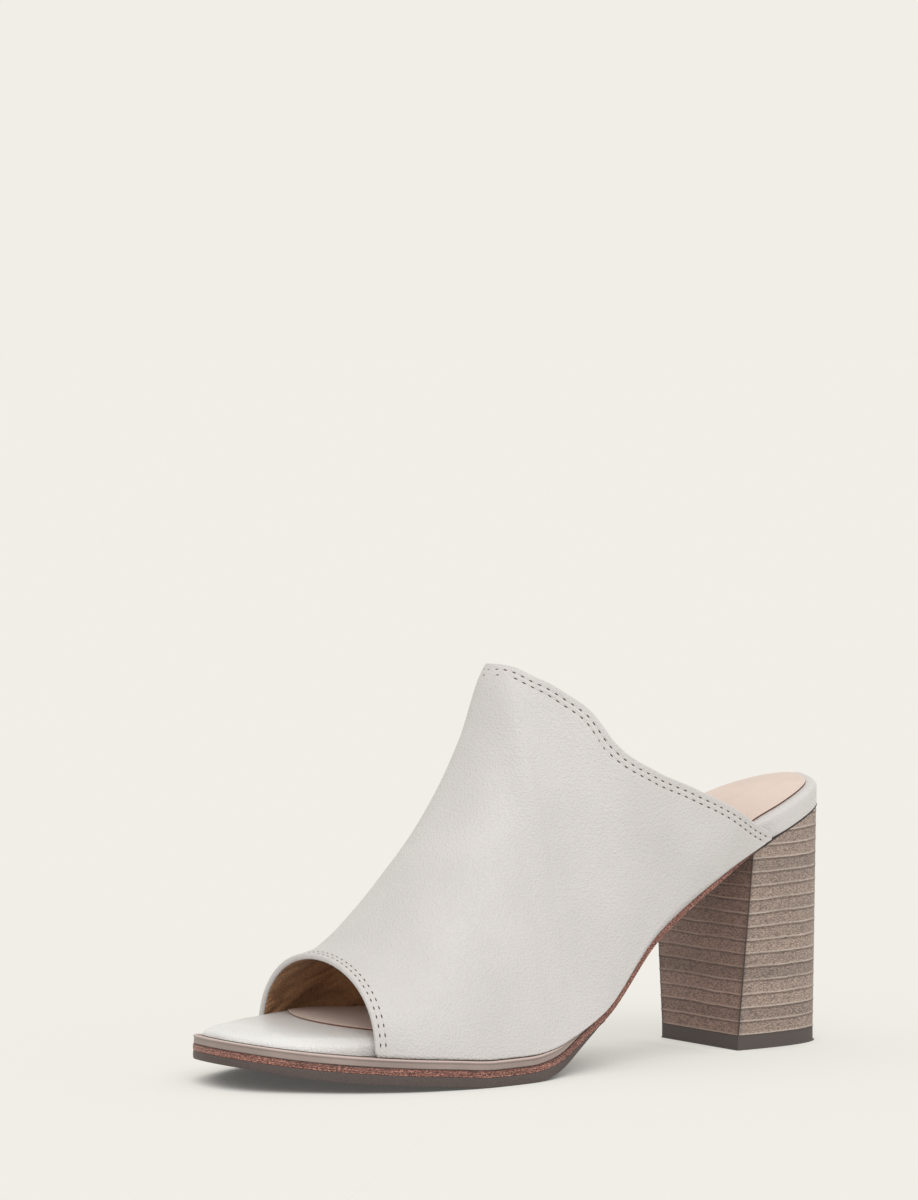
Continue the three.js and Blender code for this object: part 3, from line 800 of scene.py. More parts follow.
def leather_material(
        name, colour, grain, roughness, mottle=0.05, bump=0.12, wrinkles=0.0, sheen=0.0, coat=0.0, pale=None):
    """Grained leather: cells of the grain and fine pores as bump, soft clouds in colour, pores in roughness.

    Wrinkles are drawn-out noise, raised, and a little darker in their troughs as painted shade, with a
    painted highlight on their crests. Where the piece has the attribute "pale", the leather turns to the
    colour given as pale: the pieces use it for a painted highlight on the footbed's toe and the welt's rim,
    and for painted shadow and shade on the sock.
    """
    finish = Finish(name, roughness, sheen, coat)
    place = finish.place()
    clouds = finish.noise(place, CLOUDS, 4.0, 0.55)
    fine = finish.noise(place, PORES, 3.0, 0.6)
    grained = {"Vector": place, "Scale": 1.0 / (grain * MM), "Randomness": 1.0}
    cells = finish.node("ShaderNodeTexVoronoi", grained, feature="SMOOTH_F1").outputs["Distance"]
    tone = finish.ramp(clouds, [(0.3, shade(colour, 1 - mottle)), (0.7, shade(colour, 1 + mottle))])
    tone = finish.times(tone, finish.ramp(cells, [(0.0, PLAIN), (0.75, (0.9, 0.88, 0.86))]), 0.12)
    finish.lead(finish.span(fine, to_min=roughness - 0.06, to_max=roughness + 0.08), "Roughness")
    height = finish.math("MULTIPLY_ADD", fine, 0.5, cells)
    if wrinkles:
        drawn_out = finish.stretched(place, WRINKLE, "TEXTURE", WRINKLE_LEAN)
        lines = finish.noise(drawn_out, 1.0, 5.0, 0.5, 0.8)
        # Painted shade in the wrinkles' troughs and a painted highlight on their crests
        troughs = finish.ramp(lines, [(0.38, (0.66, 0.62, 0.58)), (0.5, PLAIN), (0.66, (1.12, 1.12, 1.12))])
        tone = finish.times(tone, troughs, min(1.0, wrinkles / 4))
        height = finish.math("MULTIPLY_ADD", lines, wrinkles, height)
    if pale:
        tone = finish.turned(tone, (*pale, 1.0), finish.attribute("pale"))
    finish.lead(tone, "Base Color")
    finish.relief(height, bump, grain * MM)
    return finish.material


def speckled_material(name, colour, dark, scale, roughness, along=None, light=1.35, narrow=0.08, streaks=0.0):
    """Cut edge of leather or rubber: fine fibres as dark and light specks, drawn out along the edge.

    Streaks run along the edge: noise of the place along the shoe and of the attribute "layer", which
    leads from 0 at the edge's top to 1 at its bottom; the top line is dark and the bottom line light.
    Along gives two places and a colour: the edge has that colour up to the first place.
    """
    finish = Finish(name, roughness)
    place = finish.place()
    specks = finish.noise(finish.stretched(place, (1.0, 1.0, 2.2)), scale, 3.0, 0.7)
    clouds = finish.noise(place, EDGE_CLOUDS, 2.0)
    bright = light if isinstance(light, tuple) else shade(colour, light)
    tone = finish.ramp(specks, [(0.5 - narrow, dark), (0.5, colour), (0.5 + narrow * 1.2, bright)])
    tone = finish.times(tone, finish.ramp(clouds, [(0.35, (0.6, 0.6, 0.6)), (0.65, PLAIN)]), 0.25)
    if streaks:
        layer = finish.attribute("layer")
        slow = finish.math("MULTIPLY", finish.axes(place)["X"], 16.0)
        spread = finish.node("ShaderNodeCombineXYZ", {"X": slow, "Y": layer}).outputs["Vector"]
        fibres = finish.noise(spread, 5.0, 3.0, 0.6)
        lines = finish.ramp(fibres, [(0.38, (0.5, 0.46, 0.44)), (0.5, PLAIN), (0.62, (1.45, 1.5, 1.5))])
        rims = finish.ramp(layer, [
            (0.0, (0.3, 0.28, 0.27)), (0.12, (0.5, 0.48, 0.47)), (0.24, PLAIN),
            (0.84, PLAIN), (0.94, (1.6, 1.7, 1.7)), (1.0, (0.9, 0.9, 0.9)),
        ])
        tone = finish.times(finish.times(tone, lines, streaks), rims, 0.85)
    if along:
        start, end, first = along
        reach = finish.span(finish.axes(place)["X"], from_min=start * MM, from_max=end * MM)
        tone = finish.turned((*first, 1.0), tone, reach)
    finish.lead(tone, "Base Color")
    finish.relief(specks, 0.3, SPECK_RELIEF)
    return finish.material


# How far the lines between the heel's lifts sway up and down, in metres
LIFT_SWAY = 0.0011


def stacked_material(name, colour, line, lift, lowest):
    """Stacked leather: each lift has its own tone, thin light lines lie between the lifts with a band of
    painted shade just under each, specks all over.

    The number of a lift is its height over the lowest one, over the lift's height, rounded down; its tone
    is a random value of that number. Lines show where the rest of that division is close to nought.
    The attribute "breast" paints shade on the heel's front and "corner" draws the dark lines at its corners.
    """
    finish = Finish(name, 0.55)
    place = finish.place()
    sway = finish.noise(place, HEEL_CLOUDS, 2.0)
    swayed = finish.math("MULTIPLY_ADD", sway, LIFT_SWAY, finish.axes(place)["Z"])
    level = finish.math("SUBTRACT", swayed, lowest * MM + LIFT_SWAY / 2)
    number = finish.math("DIVIDE", level, lift * MM)
    rest = finish.math("FRACT", number)
    whole = finish.math("FLOOR", number)
    random = finish.node("ShaderNodeTexWhiteNoise", {"W": whole}, noise_dimensions="1D").outputs["Value"]
    tone = finish.ramp(random, [(0.0, shade(colour, 0.82)), (1.0, shade(colour, 1.12))], "LINEAR")
    specks = finish.noise(finish.stretched(place, (1.0, 1.0, 3.0)), HEEL_SPECKS, 3.0, 0.75)
    dust = [(0.39, (0.3, 0.28, 0.27)), (0.5, (0.92, 0.9, 0.89)), (0.61, (1.6, 1.58, 1.56))]
    tone = finish.times(tone, finish.ramp(specks, dust), 0.75)
    # Painted shade: a dark band just under each light line
    shade_under_lines = finish.ramp(rest, [(0.0, PLAIN), (0.76, PLAIN), (0.9, (0.5, 0.47, 0.45)), (1.0, (0.8, 0.8, 0.8))])
    tone = finish.times(tone, shade_under_lines, 0.85)
    lines = finish.ramp(rest, [(0.0, PLAIN), (0.05, PLAIN), (0.14, NONE), (1.0, NONE)], "LINEAR")
    wear_and_highlight = finish.span(sway, from_min=0.3, from_max=0.7, to_min=0.35, to_max=0.95)
    tone = finish.turned(tone, (*line, 1.0), finish.math("MULTIPLY", lines, wear_and_highlight))
    # Painted shade on the heel's front
    tone = finish.times(tone, (0.82, 0.7, 0.66, 1.0), finish.attribute("breast"))
    tone = finish.turned(tone, (*SEAM_DARK, 1.0), finish.attribute("corner"))
    finish.lead(tone, "Base Color")
    finish.relief(specks, 0.35, SPECK_RELIEF)
    return finish.material


def colour_of(red, green, blue):
    """Linear colour from the 0 to 255 numbers of a screen."""
    value = np.array([red, green, blue]) / 255
    return tuple(np.where(value <= 0.04045, value / 12.92, ((value + 0.055) / 1.055) ** 2.4).tolist())


def colour_setting(name, description, rgb):
    return bpy.props.FloatVectorProperty(
        name=name, description=description, subtype="COLOR", size=3, min=0, max=1, default=colour_of(*rgb))


def length_setting(name, description, millimetres):
    return bpy.props.FloatProperty(
        name=name, description=description, subtype="DISTANCE", unit="LENGTH", min=0,
        default=millimetres * MM, precision=5)


class MuleLeatherSettings(bpy.types.PropertyGroup):
    skin: colour_setting("Upper leather", "Colour of the pale leather", (203, 200, 200))
    lining: colour_setting("Lining", "Colour of the tan leather inside the upper", (186, 142, 104))
    sock: colour_setting("Sock", "Colour of the sock on the footbed", (215, 197, 188))
    grain: length_setting("Grain", "Size of a cell of the leather's grain", 0.62)
    skin_thickness: length_setting("Leather thickness", "Thickness of the outer leather", 1.0)
    # The sock's dark colour paints the shadow along its edge and the shade inside its toe
    sock_shade: colour_setting("Sock, dark", "Colour of the sock's cut edge and its wear", (96, 58, 42))
    # Colour of the painted highlight on the footbed's toe
    toe_highlight: colour_setting("Footbed's toe", "Colour of the footbed in the toe opening", (221, 221, 222))
    edge_radius: length_setting("Edge radius", "Radius of the folded edge at the collar and the toe", 0.65)


class MuleStitchSettings(bpy.types.PropertyGroup):
    thread: colour_setting("Thread", "Colour of the thread", (206, 199, 196))
    # The needle holes' dark beads paint the shadow in the holes where the thread goes in
    hole: colour_setting("Needle hole", "Colour of the needle holes", (76, 68, 64))
    pitch: length_setting("Pitch", "Distance from one stitch to the next", 2.95)
    collar_near: length_setting("Collar row 1", "Distance of the first row from the collar's edge", 1.7)
    collar_far: length_setting("Collar row 2", "Distance of the second row from the collar's edge", 3.4)
    toe_near: length_setting("Toe row 1", "Distance of the first row from the toe opening", 1.4)
    toe_far: length_setting("Toe row 2", "Distance of the second row from the toe opening", 2.95)


class MuleSoleSettings(bpy.types.PropertyGroup):
    welt: colour_setting("Welt", "Colour of the welt", (150, 135, 130))
    midsole: colour_setting("Midsole edge", "Colour of the cut edge of the midsole", (122, 74, 64))
    midsole_fibre: colour_setting("Midsole fibres", "Colour of the edge's light fibres", (178, 128, 114))
    rubber: colour_setting("Rubber", "Colour of the outsole and the heel's lift", (86, 74, 72))
    heel: colour_setting("Heel leather", "Colour of the stacked heel", (150, 133, 124))
    heel_line: colour_setting("Heel lines", "Colour of the lines between the heel's layers", (196, 182, 172))
    lift: length_setting("Heel layer", "Height of one layer of the heel", 4.3)


class MULE_OT_upper(bpy.types.Operator):
    """Makes the pale leather of the upper with its folded edges at the collar and the toe opening"""
    bl_idname = "mule.upper"
    bl_label = "Upper leather"

    def execute(self, context):
        s = context.scene.mule_leather
        edge, thickness = s.edge_radius / MM, s.skin_thickness / MM
        rows = sewn_rows(context.scene.mule_stitches)
        blocks = upper_grid(edge * EDGE_SINK, *LEATHER_ROWS)
        points, faces = shell(blocks, 0.0, thickness, dents=lambda face: seam_dents(face, rows))
        leather = leather_material(
            "pale_leather", tuple(s.skin), s.grain / MM, 0.5, mottle=0.03, bump=0.45, sheen=0.05, coat=0.04)
        make_piece("upper_leather", points, faces, leather, "upper")
        edge_roll("collar_edge", collar_path(), down_and_forward, edge, leather)
        edge_roll("toe_edge", opening_path(), backward, edge, leather)
        return {"FINISHED"}


# Height of the lining's ripples, and how far down its edge starts as a share of the folded edge's radius
RIPPLE = 0.2
LINING_EDGE = 1.2


def ripple(x, side, angle):
    """Ripples of the lining: a sine along the shoe whose phase sways with the height."""
    wave = np.sin(x / 3.1 + 1.6 * np.sin(angle * 2.3) + side) * np.sin(x / 11.0 + angle * 3.0)
    turn = np.clip(angle, 0, np.pi / 2)
    return RIPPLE * wave * np.sin(turn) * np.cos(turn)


class MULE_OT_lining(bpy.types.Operator):
    """Makes the tan lining inside the upper, with soft ripples where it lies loose"""
    bl_idname = "mule.lining"
    bl_label = "Lining"

    def execute(self, context):
        s = context.scene.mule_leather
        material = leather_material(
            "tan_lining", tuple(s.lining), 0.7, 0.6, mottle=0.12, bump=0.6, wrinkles=4.5, sheen=0.1)
        blocks = upper_grid(s.edge_radius / MM * LINING_EDGE, *LINING_ROWS)
        points, faces = shell(blocks, s.skin_thickness / MM, UPPER_WALL, ripple)
        make_piece("upper_lining", points, faces, material)
        return {"FINISHED"}


# Height over the seat at which the rows end, and half sizes of a stitch and of the painted shadow in a needle
# hole:
# along, across and up, where a stitch's length is a share of the pitch
SEWN_OVER_SEAT = 0.8
STITCH_SHARE, STITCH_WIDTH, STITCH_RISE = 0.34, 0.24, 0.15
HOLE_SHADOW_SIZE = (0.62, 0.27, 0.12)


def bead(around=6, along=7):
    """A unit bead on a grid: its length along x, its width along y and its height along z."""
    turn = np.linspace(0, 2 * np.pi, around, endpoint=False)
    polar = np.linspace(0, np.pi, along)
    x = -np.cos(polar)[:, None] * np.ones(around)
    y = np.sin(polar)[:, None] ** 0.6 * np.cos(turn)
    z = np.sin(polar)[:, None] ** 0.6 * np.sin(turn)
    return np.stack([x, y, z], -1).reshape(-1, 3), grid_faces(along, around)


def repeat_bead(points, tangents, normals, size):
    """One bead at each point, turned to its tangent and normal and scaled by size."""
    shape, faces = bead()
    across = np.cross(normals, tangents)
    axes = np.stack([tangents * size[0], across * size[1], normals * size[2]], 1)
    placed = points[:, None] + np.einsum("vk,nkc->nvc", shape, axes)
    first = (np.arange(len(points)) * len(shape))[:, None, None]
    return placed.reshape(-1, 3), (faces[None] + first).reshape(-1, 4)


def stitch_places(path, inward, distance, pitch, rows):
    """Points, tangents and normals along one row of stitches, as deep as the thread pulls the leather in."""
    x, side, angle = inset(path, distance, inward)
    keep = arch(x, side, angle)[:, 2] - seat(x) > SEWN_OVER_SEAT
    x, side, angle = x[keep], side[keep], angle[keep]
    normal = arch_normal(x, side, angle)
    run = even(np.column_stack([arch(x, side, angle) + normal * UPPER_WALL, normal]), step=pitch)
    tangent = unit(np.gradient(run[:, :3], axis=0))
    normal = unit(run[:, 3:])
    normal = unit(normal - tangent * np.sum(normal * tangent, 1, keepdims=True))
    dent = seam_dents(run[:, :3] - normal * UPPER_WALL, rows)
    return run[:, :3] - normal * dent[:, None], tangent, normal


class MULE_OT_stitches(bpy.types.Operator):
    """Sews two rows of stitches along the collar and two round the toe opening"""
    bl_idname = "mule.stitches"
    bl_label = "Stitches"

    def execute(self, context):
        s = context.scene.mule_stitches
        pitch = s.pitch / MM
        rows = sewn_rows(s)
        threads, holes = [], []
        for path, inward, distances in rows:
            for distance in distances:
                sunk, tangent, normal = stitch_places(path, inward, distance, pitch, rows)
                threads.append(((sunk[1:] + sunk[:-1]) / 2, tangent[1:], normal[1:]))
                holes.append((sunk[1:-1], tangent[1:-1], normal[1:-1]))
        thread = leather_material("thread", tuple(s.thread), 0.2, 0.6, bump=0.2)
        # The needle holes are dark beads: painted shadow in the holes
        dark = leather_material("needle_hole_shadow", tuple(s.hole), 0.2, 0.8, bump=0.1)
        for name, sets, size, material in (
            ("stitches", threads, (pitch * STITCH_SHARE, STITCH_WIDTH, STITCH_RISE), thread),
            ("needle_hole_shadows", holes, HOLE_SHADOW_SIZE, dark),
        ):
            points, tangents, normals = (np.concatenate(part) for part in zip(*sets))
            placed, faces = repeat_bead(points, tangents, normals, size)
            make_piece(name, placed, faces, material)
        return {"FINISHED"}


# Where the spines of the flat pieces start and end; the pieces' tops and undersides meet on them
SPINE_START = 18.0
FOOTBED_SPINE_END, SOCK_SPINE_END = LENGTH - 26, LENGTH * 0.79
MIDSOLE_SPINE_END, OUTSOLE_SPINE_END = LENGTH - 30, LENGTH - 34
# Footbed: the round of its edge, which grows towards the toe, and its fall towards the edge in the toe
BED_ROLL, BED_ROLL_MORE, BED_ROLL_REACH, BED_ROLL_SHARE = 1.7, 1.9, (165, 200), 0.85
TOE_FALL, TOE_FALL_WIDTH, TOE_FALL_REACH = 0.9, 9.0, (160, 200)
# Where the painted highlight on the footbed's toe grows in
TOE_HIGHLIGHT_REACH = (188, 207)
# Sock: its front end, how that is drawn back at the sides and bulges in the middle, its top and its edge
SOCK_END, SOCK_FRONT, SOCK_SIDES_BACK, SOCK_BULGE, SOCK_STOPS = 0.843, 0.12, 12, 9, 30
SOCK_RISE, SOCK_SINK = 0.65, 0.2
# Painted shadow along the sock's edge, over this drop under its top, and painted shade inside the toe: how
# strong and where it grows
SOCK_EDGE_SHADOW = (0.06, 0.2)
SOCK_TOE_SHADE, SOCK_TOE_SHADE_REACH = 0.3, (110, 160)


def make_footbed(leather):
    """The footbed's wrap: a slab whose edge is round, with its toe falling softly towards the edge."""
    rims = rim(lambda x: -footbed_inset(x), 0, 1, FOOTBED_STATIONS)
    loop, spine = closed_loop(*rims, SPINE_START, FOOTBED_SPINE_END)
    loop += loop_normals(loop) * (WAIST_LEDGE * bare_heel(loop[:, 0]))[:, None]
    roll = BED_ROLL + BED_ROLL_MORE * smooth_step(loop[:, 0], *BED_ROLL_REACH)
    roll = np.minimum(roll, BED_ROLL_SHARE * (bed_top(loop[:, 0], loop[:, 1]) - seat(loop[:, 0])))
    rings = slab(loop, spine, bed_top, footbed_low, roll, 0.2, rows=20, sides=4)
    away = np.linalg.norm(rings[..., :2] - loop, axis=2)
    near = np.maximum(0, 1 - away / TOE_FALL_WIDTH) ** 2
    fall = TOE_FALL * smooth_step(loop[:, 0], *TOE_FALL_REACH) * near
    low = footbed_low(rings[..., 0], rings[..., 1])
    rise = (rings[..., 2] - low) / (bed_top(rings[..., 0], rings[..., 1]) - low)
    rings[..., 2] -= fall * np.clip(rise, 0, 1)
    # Painted highlight: the footbed turns lighter towards its toe
    pale = smooth_step(rings[..., 0], *TOE_HIGHLIGHT_REACH)
    make_rings("footbed_wrap", rings, leather, "footbed", {"pale": pale})


def sock_top(x, y):
    return bed_top(x, y, SOCK_RISE)


def sock_low(x, y):
    return bed_top(x, y, -SOCK_SINK)


def make_sock(leather):
    """The sock: a thin slab on the footbed, whose front edge is a bow with its sides drawn back."""
    outer, inner, x = rim(lambda x: -(LINING_INSET + footbed_inset(x)), 0, SOCK_END, SOCK_STATIONS)
    for edge in (outer, inner):
        reach = smooth_step(edge[:, 0] / LENGTH, SOCK_END - SOCK_FRONT, SOCK_END)
        edge[:, 0] -= SOCK_SIDES_BACK * reach * (edge[:, 1] / (BALL_WIDTH / 2)) ** 2
    loop, spine = closed_loop(outer, inner, x, SPINE_START, SOCK_SPINE_END, stops=SOCK_STOPS)
    across = 2 * np.linspace(0, 1, SOCK_STOPS + 1)[1:-1] - 1
    loop[len(outer):len(outer) + len(across), 0] += SOCK_BULGE * (1 - across ** 2)
    rings = slab(loop, spine, sock_top, sock_low, 0.25, 0.1, rows=14)
    # Painted shadow on the sock's edge and painted shade towards its toe, led into the attribute pale
    cut = smooth_step(sock_top(rings[..., 0], rings[..., 1]) - rings[..., 2], *SOCK_EDGE_SHADOW)
    toe_shade = SOCK_TOE_SHADE * smooth_step(rings[..., 0], *SOCK_TOE_SHADE_REACH)
    dark = {"pale": np.maximum(cut, toe_shade)}
    make_rings("sock", rings, leather, "sock_lining", dark)


class MULE_OT_footbed(bpy.types.Operator):
    """Makes the footbed wrapped in pale leather and the sock that is glued on it"""
    bl_idname = "mule.footbed"
    bl_label = "Footbed and sock"

    def execute(self, context):
        s = context.scene.mule_leather
        # The toe colour is the painted highlight on the footbed's toe
        make_footbed(leather_material(
            "wrap_leather", tuple(s.skin), s.grain / MM, 0.4, mottle=0.03, bump=0.35, sheen=0.05, coat=0.15,
            pale=tuple(s.toe_highlight)))
        # The sock's dark colour is its painted shadow and shade
        make_sock(leather_material(
            "sock_leather", tuple(s.sock), 0.6, 0.6, mottle=0.05, bump=0.12, wrinkles=0.4, sheen=0.1,
            pale=tuple(s.sock_shade)))
        return {"FINISHED"}


# Section of the welt: how far in from the edge, and how deep as a share of its thickness
WELT_SECTION = np.array([
    (WELT_WIDTH - 0.5, 0.0), (2.4, 0.0), (0.75, 0.0), (0.35, 0.04), (0.1, 0.12), (0.0, 0.2), (0.05, 0.28),
    (0.28, 0.33), (0.3, 0.4), (0.2, 0.52), (0.16, 0.66), (0.2, 0.8), (0.12, 0.86), (0.3, 1.0),
    (WELT_WIDTH - 0.5, 1.0),
])
# The painted highlight on the welt's top rim: its place in from the edge, its width, how deep it goes and how
# pale it is
RIM_HIGHLIGHT_PLACE, RIM_HIGHLIGHT_WIDTH, RIM_HIGHLIGHT_DEPTH, RIM_HIGHLIGHT_SHARE = 0.35, 0.3, 0.15, 0.8
RIM_HIGHLIGHT_LIGHT = 2.3
# How far behind and before the heel's breast the midsole's dark end turns to its red edge
DARK_END, RED_START = 4, 6


def make_welt(leather):
    """The welt: its section carried from the outer waist round the toe to the inner waist."""
    span = (WELT_START, 1, FOREPART_STATIONS)
    outer, inner, _ = rim(sole_ledge, *span)
    outer_far, inner_far, _ = rim(lambda x: sole_ledge(x) - WELT_WIDTH, *span)
    wide = np.concatenate([outer, inner[-2::-1]])
    narrow = np.concatenate([outer_far, inner_far[-2::-1]])
    place = wide[:, None] + unit(narrow - wide)[:, None] * WELT_SECTION[None, :, :1]
    height = under_seat(place[..., 0], welt_depth(place[..., 0]) * WELT_SECTION[None, :, 1])
    rings = capped(np.concatenate([place, height[..., None]], -1))
    inside, depth = WELT_SECTION.T
    # Painted highlight along the welt's top outer rim, led into the attribute pale
    wear_and_highlight = RIM_HIGHLIGHT_SHARE * np.exp(-((inside - RIM_HIGHLIGHT_PLACE) / RIM_HIGHLIGHT_WIDTH) ** 2) * (depth < RIM_HIGHLIGHT_DEPTH)
    make_rings("welt_strip", rings, leather, "welt", {"pale": np.tile(wear_and_highlight, len(rings))})


def make_midsole(leather):
    """The midsole: a slab with a softly bulging edge, which knows how deep in the edge each point lies."""
    loop, spine = closed_loop(*rim(sole_ledge, 0, 1, MIDSOLE_STATIONS), SPINE_START, MIDSOLE_SPINE_END)
    rings = slab(loop, spine, midsole_top, midsole_low, 0.12, 0.12, rows=10, sides=8, bulge=0.12)
    x, y, height = np.moveaxis(rings, -1, 0)
    layer = np.clip((midsole_top(x, y) - height) / (midsole_top(x, y) - midsole_low(x, y)), 0, 1)
    make_rings("midsole_leather", rings, leather, "midsole", {"layer": layer})


def make_outsole(rubber):
    """The outsole: a slab from behind the ball to the toe, round at its lower edge."""
    rims = rim(sole_ledge, OUTSOLE_START, 1, FOREPART_STATIONS)
    loop, spine = closed_loop(*rims, OUTSOLE_SPINE_START, OUTSOLE_SPINE_END, stops=24)
    rings = slab(loop, spine, outsole_top, outsole_low, 0.15, 0.25, rows=10, bulge=0.1)
    make_rings("outsole_rubber", rings, rubber, "outsole")


class MULE_OT_sole(bpy.types.Operator):
    """Makes the welt, the midsole and the rubber outsole with their edges"""
    bl_idname = "mule.sole"
    bl_label = "Sole layers"

    def execute(self, context):
        s = context.scene.mule_sole
        welt, midsole, rubber = tuple(s.welt), tuple(s.midsole), tuple(s.rubber)
        breast = BREAST + ORIGIN_X
        # The welt's pale colour is its painted highlight
        make_welt(leather_material(
            "welt_leather", welt, 0.4, 0.5, mottle=0.12, bump=0.2, pale=shade(welt, RIM_HIGHLIGHT_LIGHT)))
        make_midsole(speckled_material(
            "midsole_edge", midsole, shade(midsole, 0.4), 1700.0, 0.5,
            (breast - DARK_END, breast + RED_START, SEAM_DARK),
            light=tuple(s.midsole_fibre), narrow=0.07, streaks=0.7))
        make_outsole(speckled_material(
            "rubber", rubber, shade(rubber, 0.75), 1800.0, 0.65, light=1.15, narrow=0.13))
        return {"FINISHED"}


# Points round half the heel's back, along its breast and up its height
HEEL_STOPS, BREAST_STOPS, HEEL_RINGS = 48, 24, 200
# First step from a corner, as a share of the round back and of the breast
BACK_CORNER, BREAST_CORNER = 0.0022, 0.006
# Grooves between the heel's layers, the dark lines at its corners, and where the painted shade on its front
# starts
GROOVE_DEPTH, GROOVE_WIDTH = 0.14, 0.28
CORNER_WIDTH = 0.4
BREAST_SHADE_START, BREAST_SHADE_FULL = BREAST - 0.4, BREAST - 0.15
# The stack starts a hair over the rubber lift
STACK_LOW = LIFT_THICKNESS + 0.02


def sharp_shares(count, corner):
    """Equal steps from 0 to 1, with two short ones at each end that keep the corner crisp."""
    inner = np.linspace(2 * corner, 1 - 2 * corner, count - 3)
    return np.concatenate([[0, corner], inner, [1 - corner, 1]])


def heel_loop(share):
    """Loop of the heel between its foot and its head: a half superellipse, then the straight breast."""
    angle = np.linspace(np.pi / 2, -np.pi / 2, HEEL_FINE // 2 + 1)
    side = np.sign(np.round(angle, 9))
    power = 2 / HEEL_SQUARENESS
    foot_x = BREAST - HEEL_FOOT_LENGTH * np.abs(np.cos(angle)) ** power
    foot_y = HEEL_SHIFT + side * HEEL_FOOT_WIDTH / 2 * np.abs(np.sin(angle)) ** power
    top_x = BREAST * (1 - np.cos(angle))
    ledge = WAIST_LEDGE * (1 - np.abs(np.cos(angle)) ** 8)
    edge = np.where(side >= 0, outer_edge(top_x), inner_edge(top_x))
    head_x, head_y = top_x - (WAIST_LEDGE - ledge), edge + side * ledge
    foot, head = np.stack([foot_x, foot_y], 1), np.stack([head_x, head_y], 1)
    curve = even(foot + (head - foot) * share, HEEL_FINE)
    at = sharp_shares(2 * HEEL_STOPS, BACK_CORNER) * HEEL_FINE
    curve = np.stack([np.interp(at, np.arange(HEEL_FINE + 1), curve[:, k]) for k in range(2)], 1)
    rest = sharp_shares(BREAST_STOPS, BREAST_CORNER)[1:-1, None]
    return np.concatenate([curve, curve[-1] + (curve[0] - curve[-1]) * rest])


class MULE_OT_heel(bpy.types.Operator):
    """Makes the stacked heel with its layers and the rubber lift under it"""
    bl_idname = "mule.heel"
    bl_label = "Heel"

    def execute(self, context):
        s = context.scene.mule_sole
        lift = s.lift / MM
        rings = []
        for share in np.linspace(0, 1, HEEL_RINGS):
            loop = heel_loop(share)[::-1]
            outward = -loop_normals(loop)
            head = under_seat(loop[:, 0], leather_depth(loop[:, 0]) + LAYER_GAP)
            height = STACK_LOW + (head - STACK_LOW) * share
            number = (height - STACK_LOW) / lift
            gap = np.abs(number - np.round(number)) * lift
            groove = GROOVE_DEPTH * np.exp(-(gap / GROOVE_WIDTH) ** 2)
            rings.append(np.column_stack([loop - outward * groove[:, None], height]))
        rings = capped(np.stack(rings))
        ends = [np.linalg.norm(rings - rings[:, [k]], axis=2) for k in (BREAST_STOPS - 1, -1)]
        marks = {
            # Painted shade on the heel's front, from just behind the breast
            "breast": smooth_step(rings[..., 0], BREAST_SHADE_START, BREAST_SHADE_FULL),
            "corner": np.exp(-(np.minimum(*ends) / CORNER_WIDTH) ** 2),
        }
        stacked = stacked_material("stacked_leather", tuple(s.heel), tuple(s.heel_line), lift, STACK_LOW)
        make_rings("heel_stack", rings, stacked, "heel", marks, sharp=True)

        loop = heel_loop(0.0)
        spine = np.tile(loop.mean(0), (len(loop), 1))
        rings = slab(loop, spine, lambda x, y: 0 * x + LIFT_THICKNESS, lambda x, y: 0 * x, 0.2, 0.5, rows=6)
        rubber = bpy.data.materials["rubber"]
        make_rings("heel_lift", rings, rubber, "top_piece", sharp=True)
        return {"FINISHED"}


# The stage, in metres: a pale floor that glows as much as it lies open, so that a contact shadow is painted
# under the shoe, one soft light and the camera
PAPER = (0.877, 0.855, 0.799)
PAINTED_FLOOR_SHADOW = [(0.12, (0.12, 0.117, 0.11)), (0.35, (0.55, 0.536, 0.501)), (0.62, PAPER)]
FLOOR_REACH = 40.0
SHADE_REACH = 0.05
LIGHT_FROM = (0.22, 0.6, 0.77)
EYE = (0.9683, 1.35474, 0.2236)
LOOK = (-0.5715, -0.8192, -0.0486)


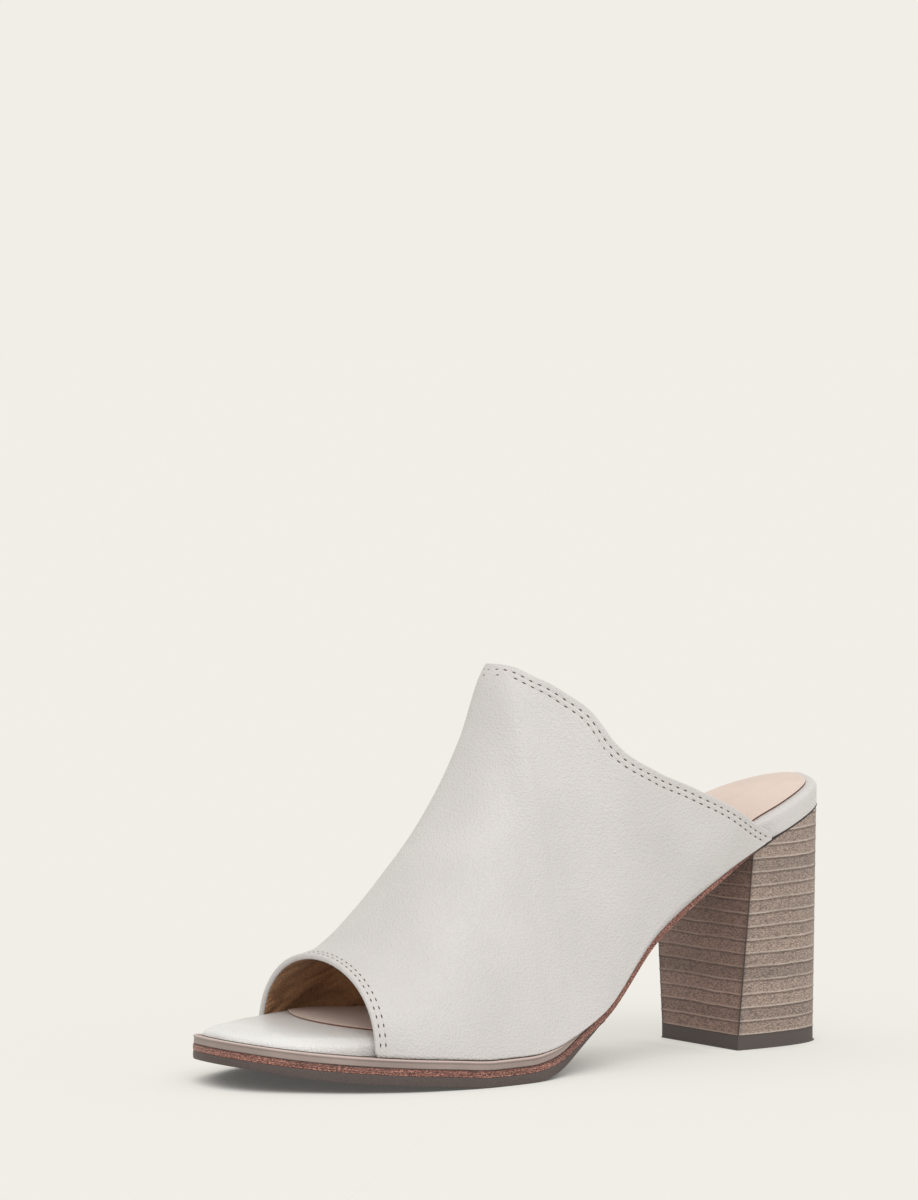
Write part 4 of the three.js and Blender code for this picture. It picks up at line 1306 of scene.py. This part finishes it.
class MULE_OT_stage(bpy.types.Operator):
    """Sets the pale floor, the soft light and the camera at the photograph's angle"""
    bl_idname = "mule.stage"
    bl_label = "Stage"

    def execute(self, context):
        scene = context.scene
        mesh = bpy.data.meshes.new("floor")
        corners = [(x * FLOOR_REACH, y * FLOOR_REACH, 0) for x, y in ((-1, -1), (1, -1), (1, 1), (-1, 1))]
        mesh.from_pydata(corners, [], [(0, 1, 2, 3)])
        floor = bpy.data.objects.new("floor", mesh)
        scene.collection.objects.link(floor)
        paper = Finish("floor_paper", 0.9)
        paper.shader.inputs["Base Color"].default_value = (0.3, 0.3, 0.296, 1)
        paper.shader.inputs["Specular IOR Level"].default_value = 0.0
        paper.shader.inputs["Emission Strength"].default_value = 0.607
        # Painted shadow: the floor's glow falls off where the shoe closes it in, through its ambient
        # occlusion
        openness = paper.node("ShaderNodeAmbientOcclusion", {"Distance": SHADE_REACH}, samples=8)
        paper.lead(paper.ramp(openness.outputs["AO"], PAINTED_FLOOR_SHADOW), "Emission Color")
        mesh.materials.append(paper.material)

        world = bpy.data.worlds.new("studio")
        world.use_nodes = True
        world.node_tree.nodes["Background"].inputs["Color"].default_value = (*PAPER, 1)
        world.node_tree.nodes["Background"].inputs["Strength"].default_value = 1.0
        scene.world = world
        light = bpy.data.lights.new("softbox", "SUN")
        light.energy = 1.1
        light.angle = 0.7
        lamp = bpy.data.objects.new("softbox", light)
        scene.collection.objects.link(lamp)
        lamp.rotation_euler = Vector(LIGHT_FROM).to_track_quat("Z", "Y").to_euler()

        camera = bpy.data.cameras.new("camera")
        camera.sensor_fit = "VERTICAL"
        camera.sensor_height = 36.0
        camera.lens = 162.78
        camera.clip_end = 200.0
        eye = bpy.data.objects.new("camera", camera)
        scene.collection.objects.link(eye)
        eye.location = EYE
        eye.rotation_euler = Vector(LOOK).to_track_quat("-Z", "Y").to_euler()
        scene.camera = eye
        scene.view_settings.view_transform = "Standard"
        return {"FINISHED"}


OPERATORS = (
    MULE_OT_stage, MULE_OT_upper, MULE_OT_lining, MULE_OT_stitches, MULE_OT_footbed, MULE_OT_sole,
    MULE_OT_heel,
)
SETTINGS = {
    "mule_leather": MuleLeatherSettings, "mule_stitches": MuleStitchSettings, "mule_sole": MuleSoleSettings,
}


class MULE_PT_panel(bpy.types.Panel):
    """Lists the mule's pieces and their sizes and colours"""
    bl_idname = "MULE_PT_panel"
    bl_label = "Open-toe mule"
    bl_space_type = "VIEW_3D"
    bl_region_type = "UI"
    bl_category = "Mule"

    def draw(self, context):
        for key, group in SETTINGS.items():
            for name in group.__annotations__:
                self.layout.prop(getattr(context.scene, key), name)
        for operator in OPERATORS:
            self.layout.operator(operator.bl_idname)


CLASSES = (*SETTINGS.values(), *OPERATORS, MULE_PT_panel)


def register():
    for each in CLASSES:
        bpy.utils.register_class(each)
    for key, group in SETTINGS.items():
        setattr(bpy.types.Scene, key, bpy.props.PointerProperty(type=group))


def unregister():
    for key in SETTINGS:
        delattr(bpy.types.Scene, key)
    for each in reversed(CLASSES):
        bpy.utils.unregister_class(each)


def main():
    """Makes every piece in order."""
    register()
    for make in (bpy.ops.mule.stage, bpy.ops.mule.upper, bpy.ops.mule.lining, bpy.ops.mule.stitches,
                 bpy.ops.mule.footbed, bpy.ops.mule.sole, bpy.ops.mule.heel):
        make()


if __name__ == "__main__":
    main()
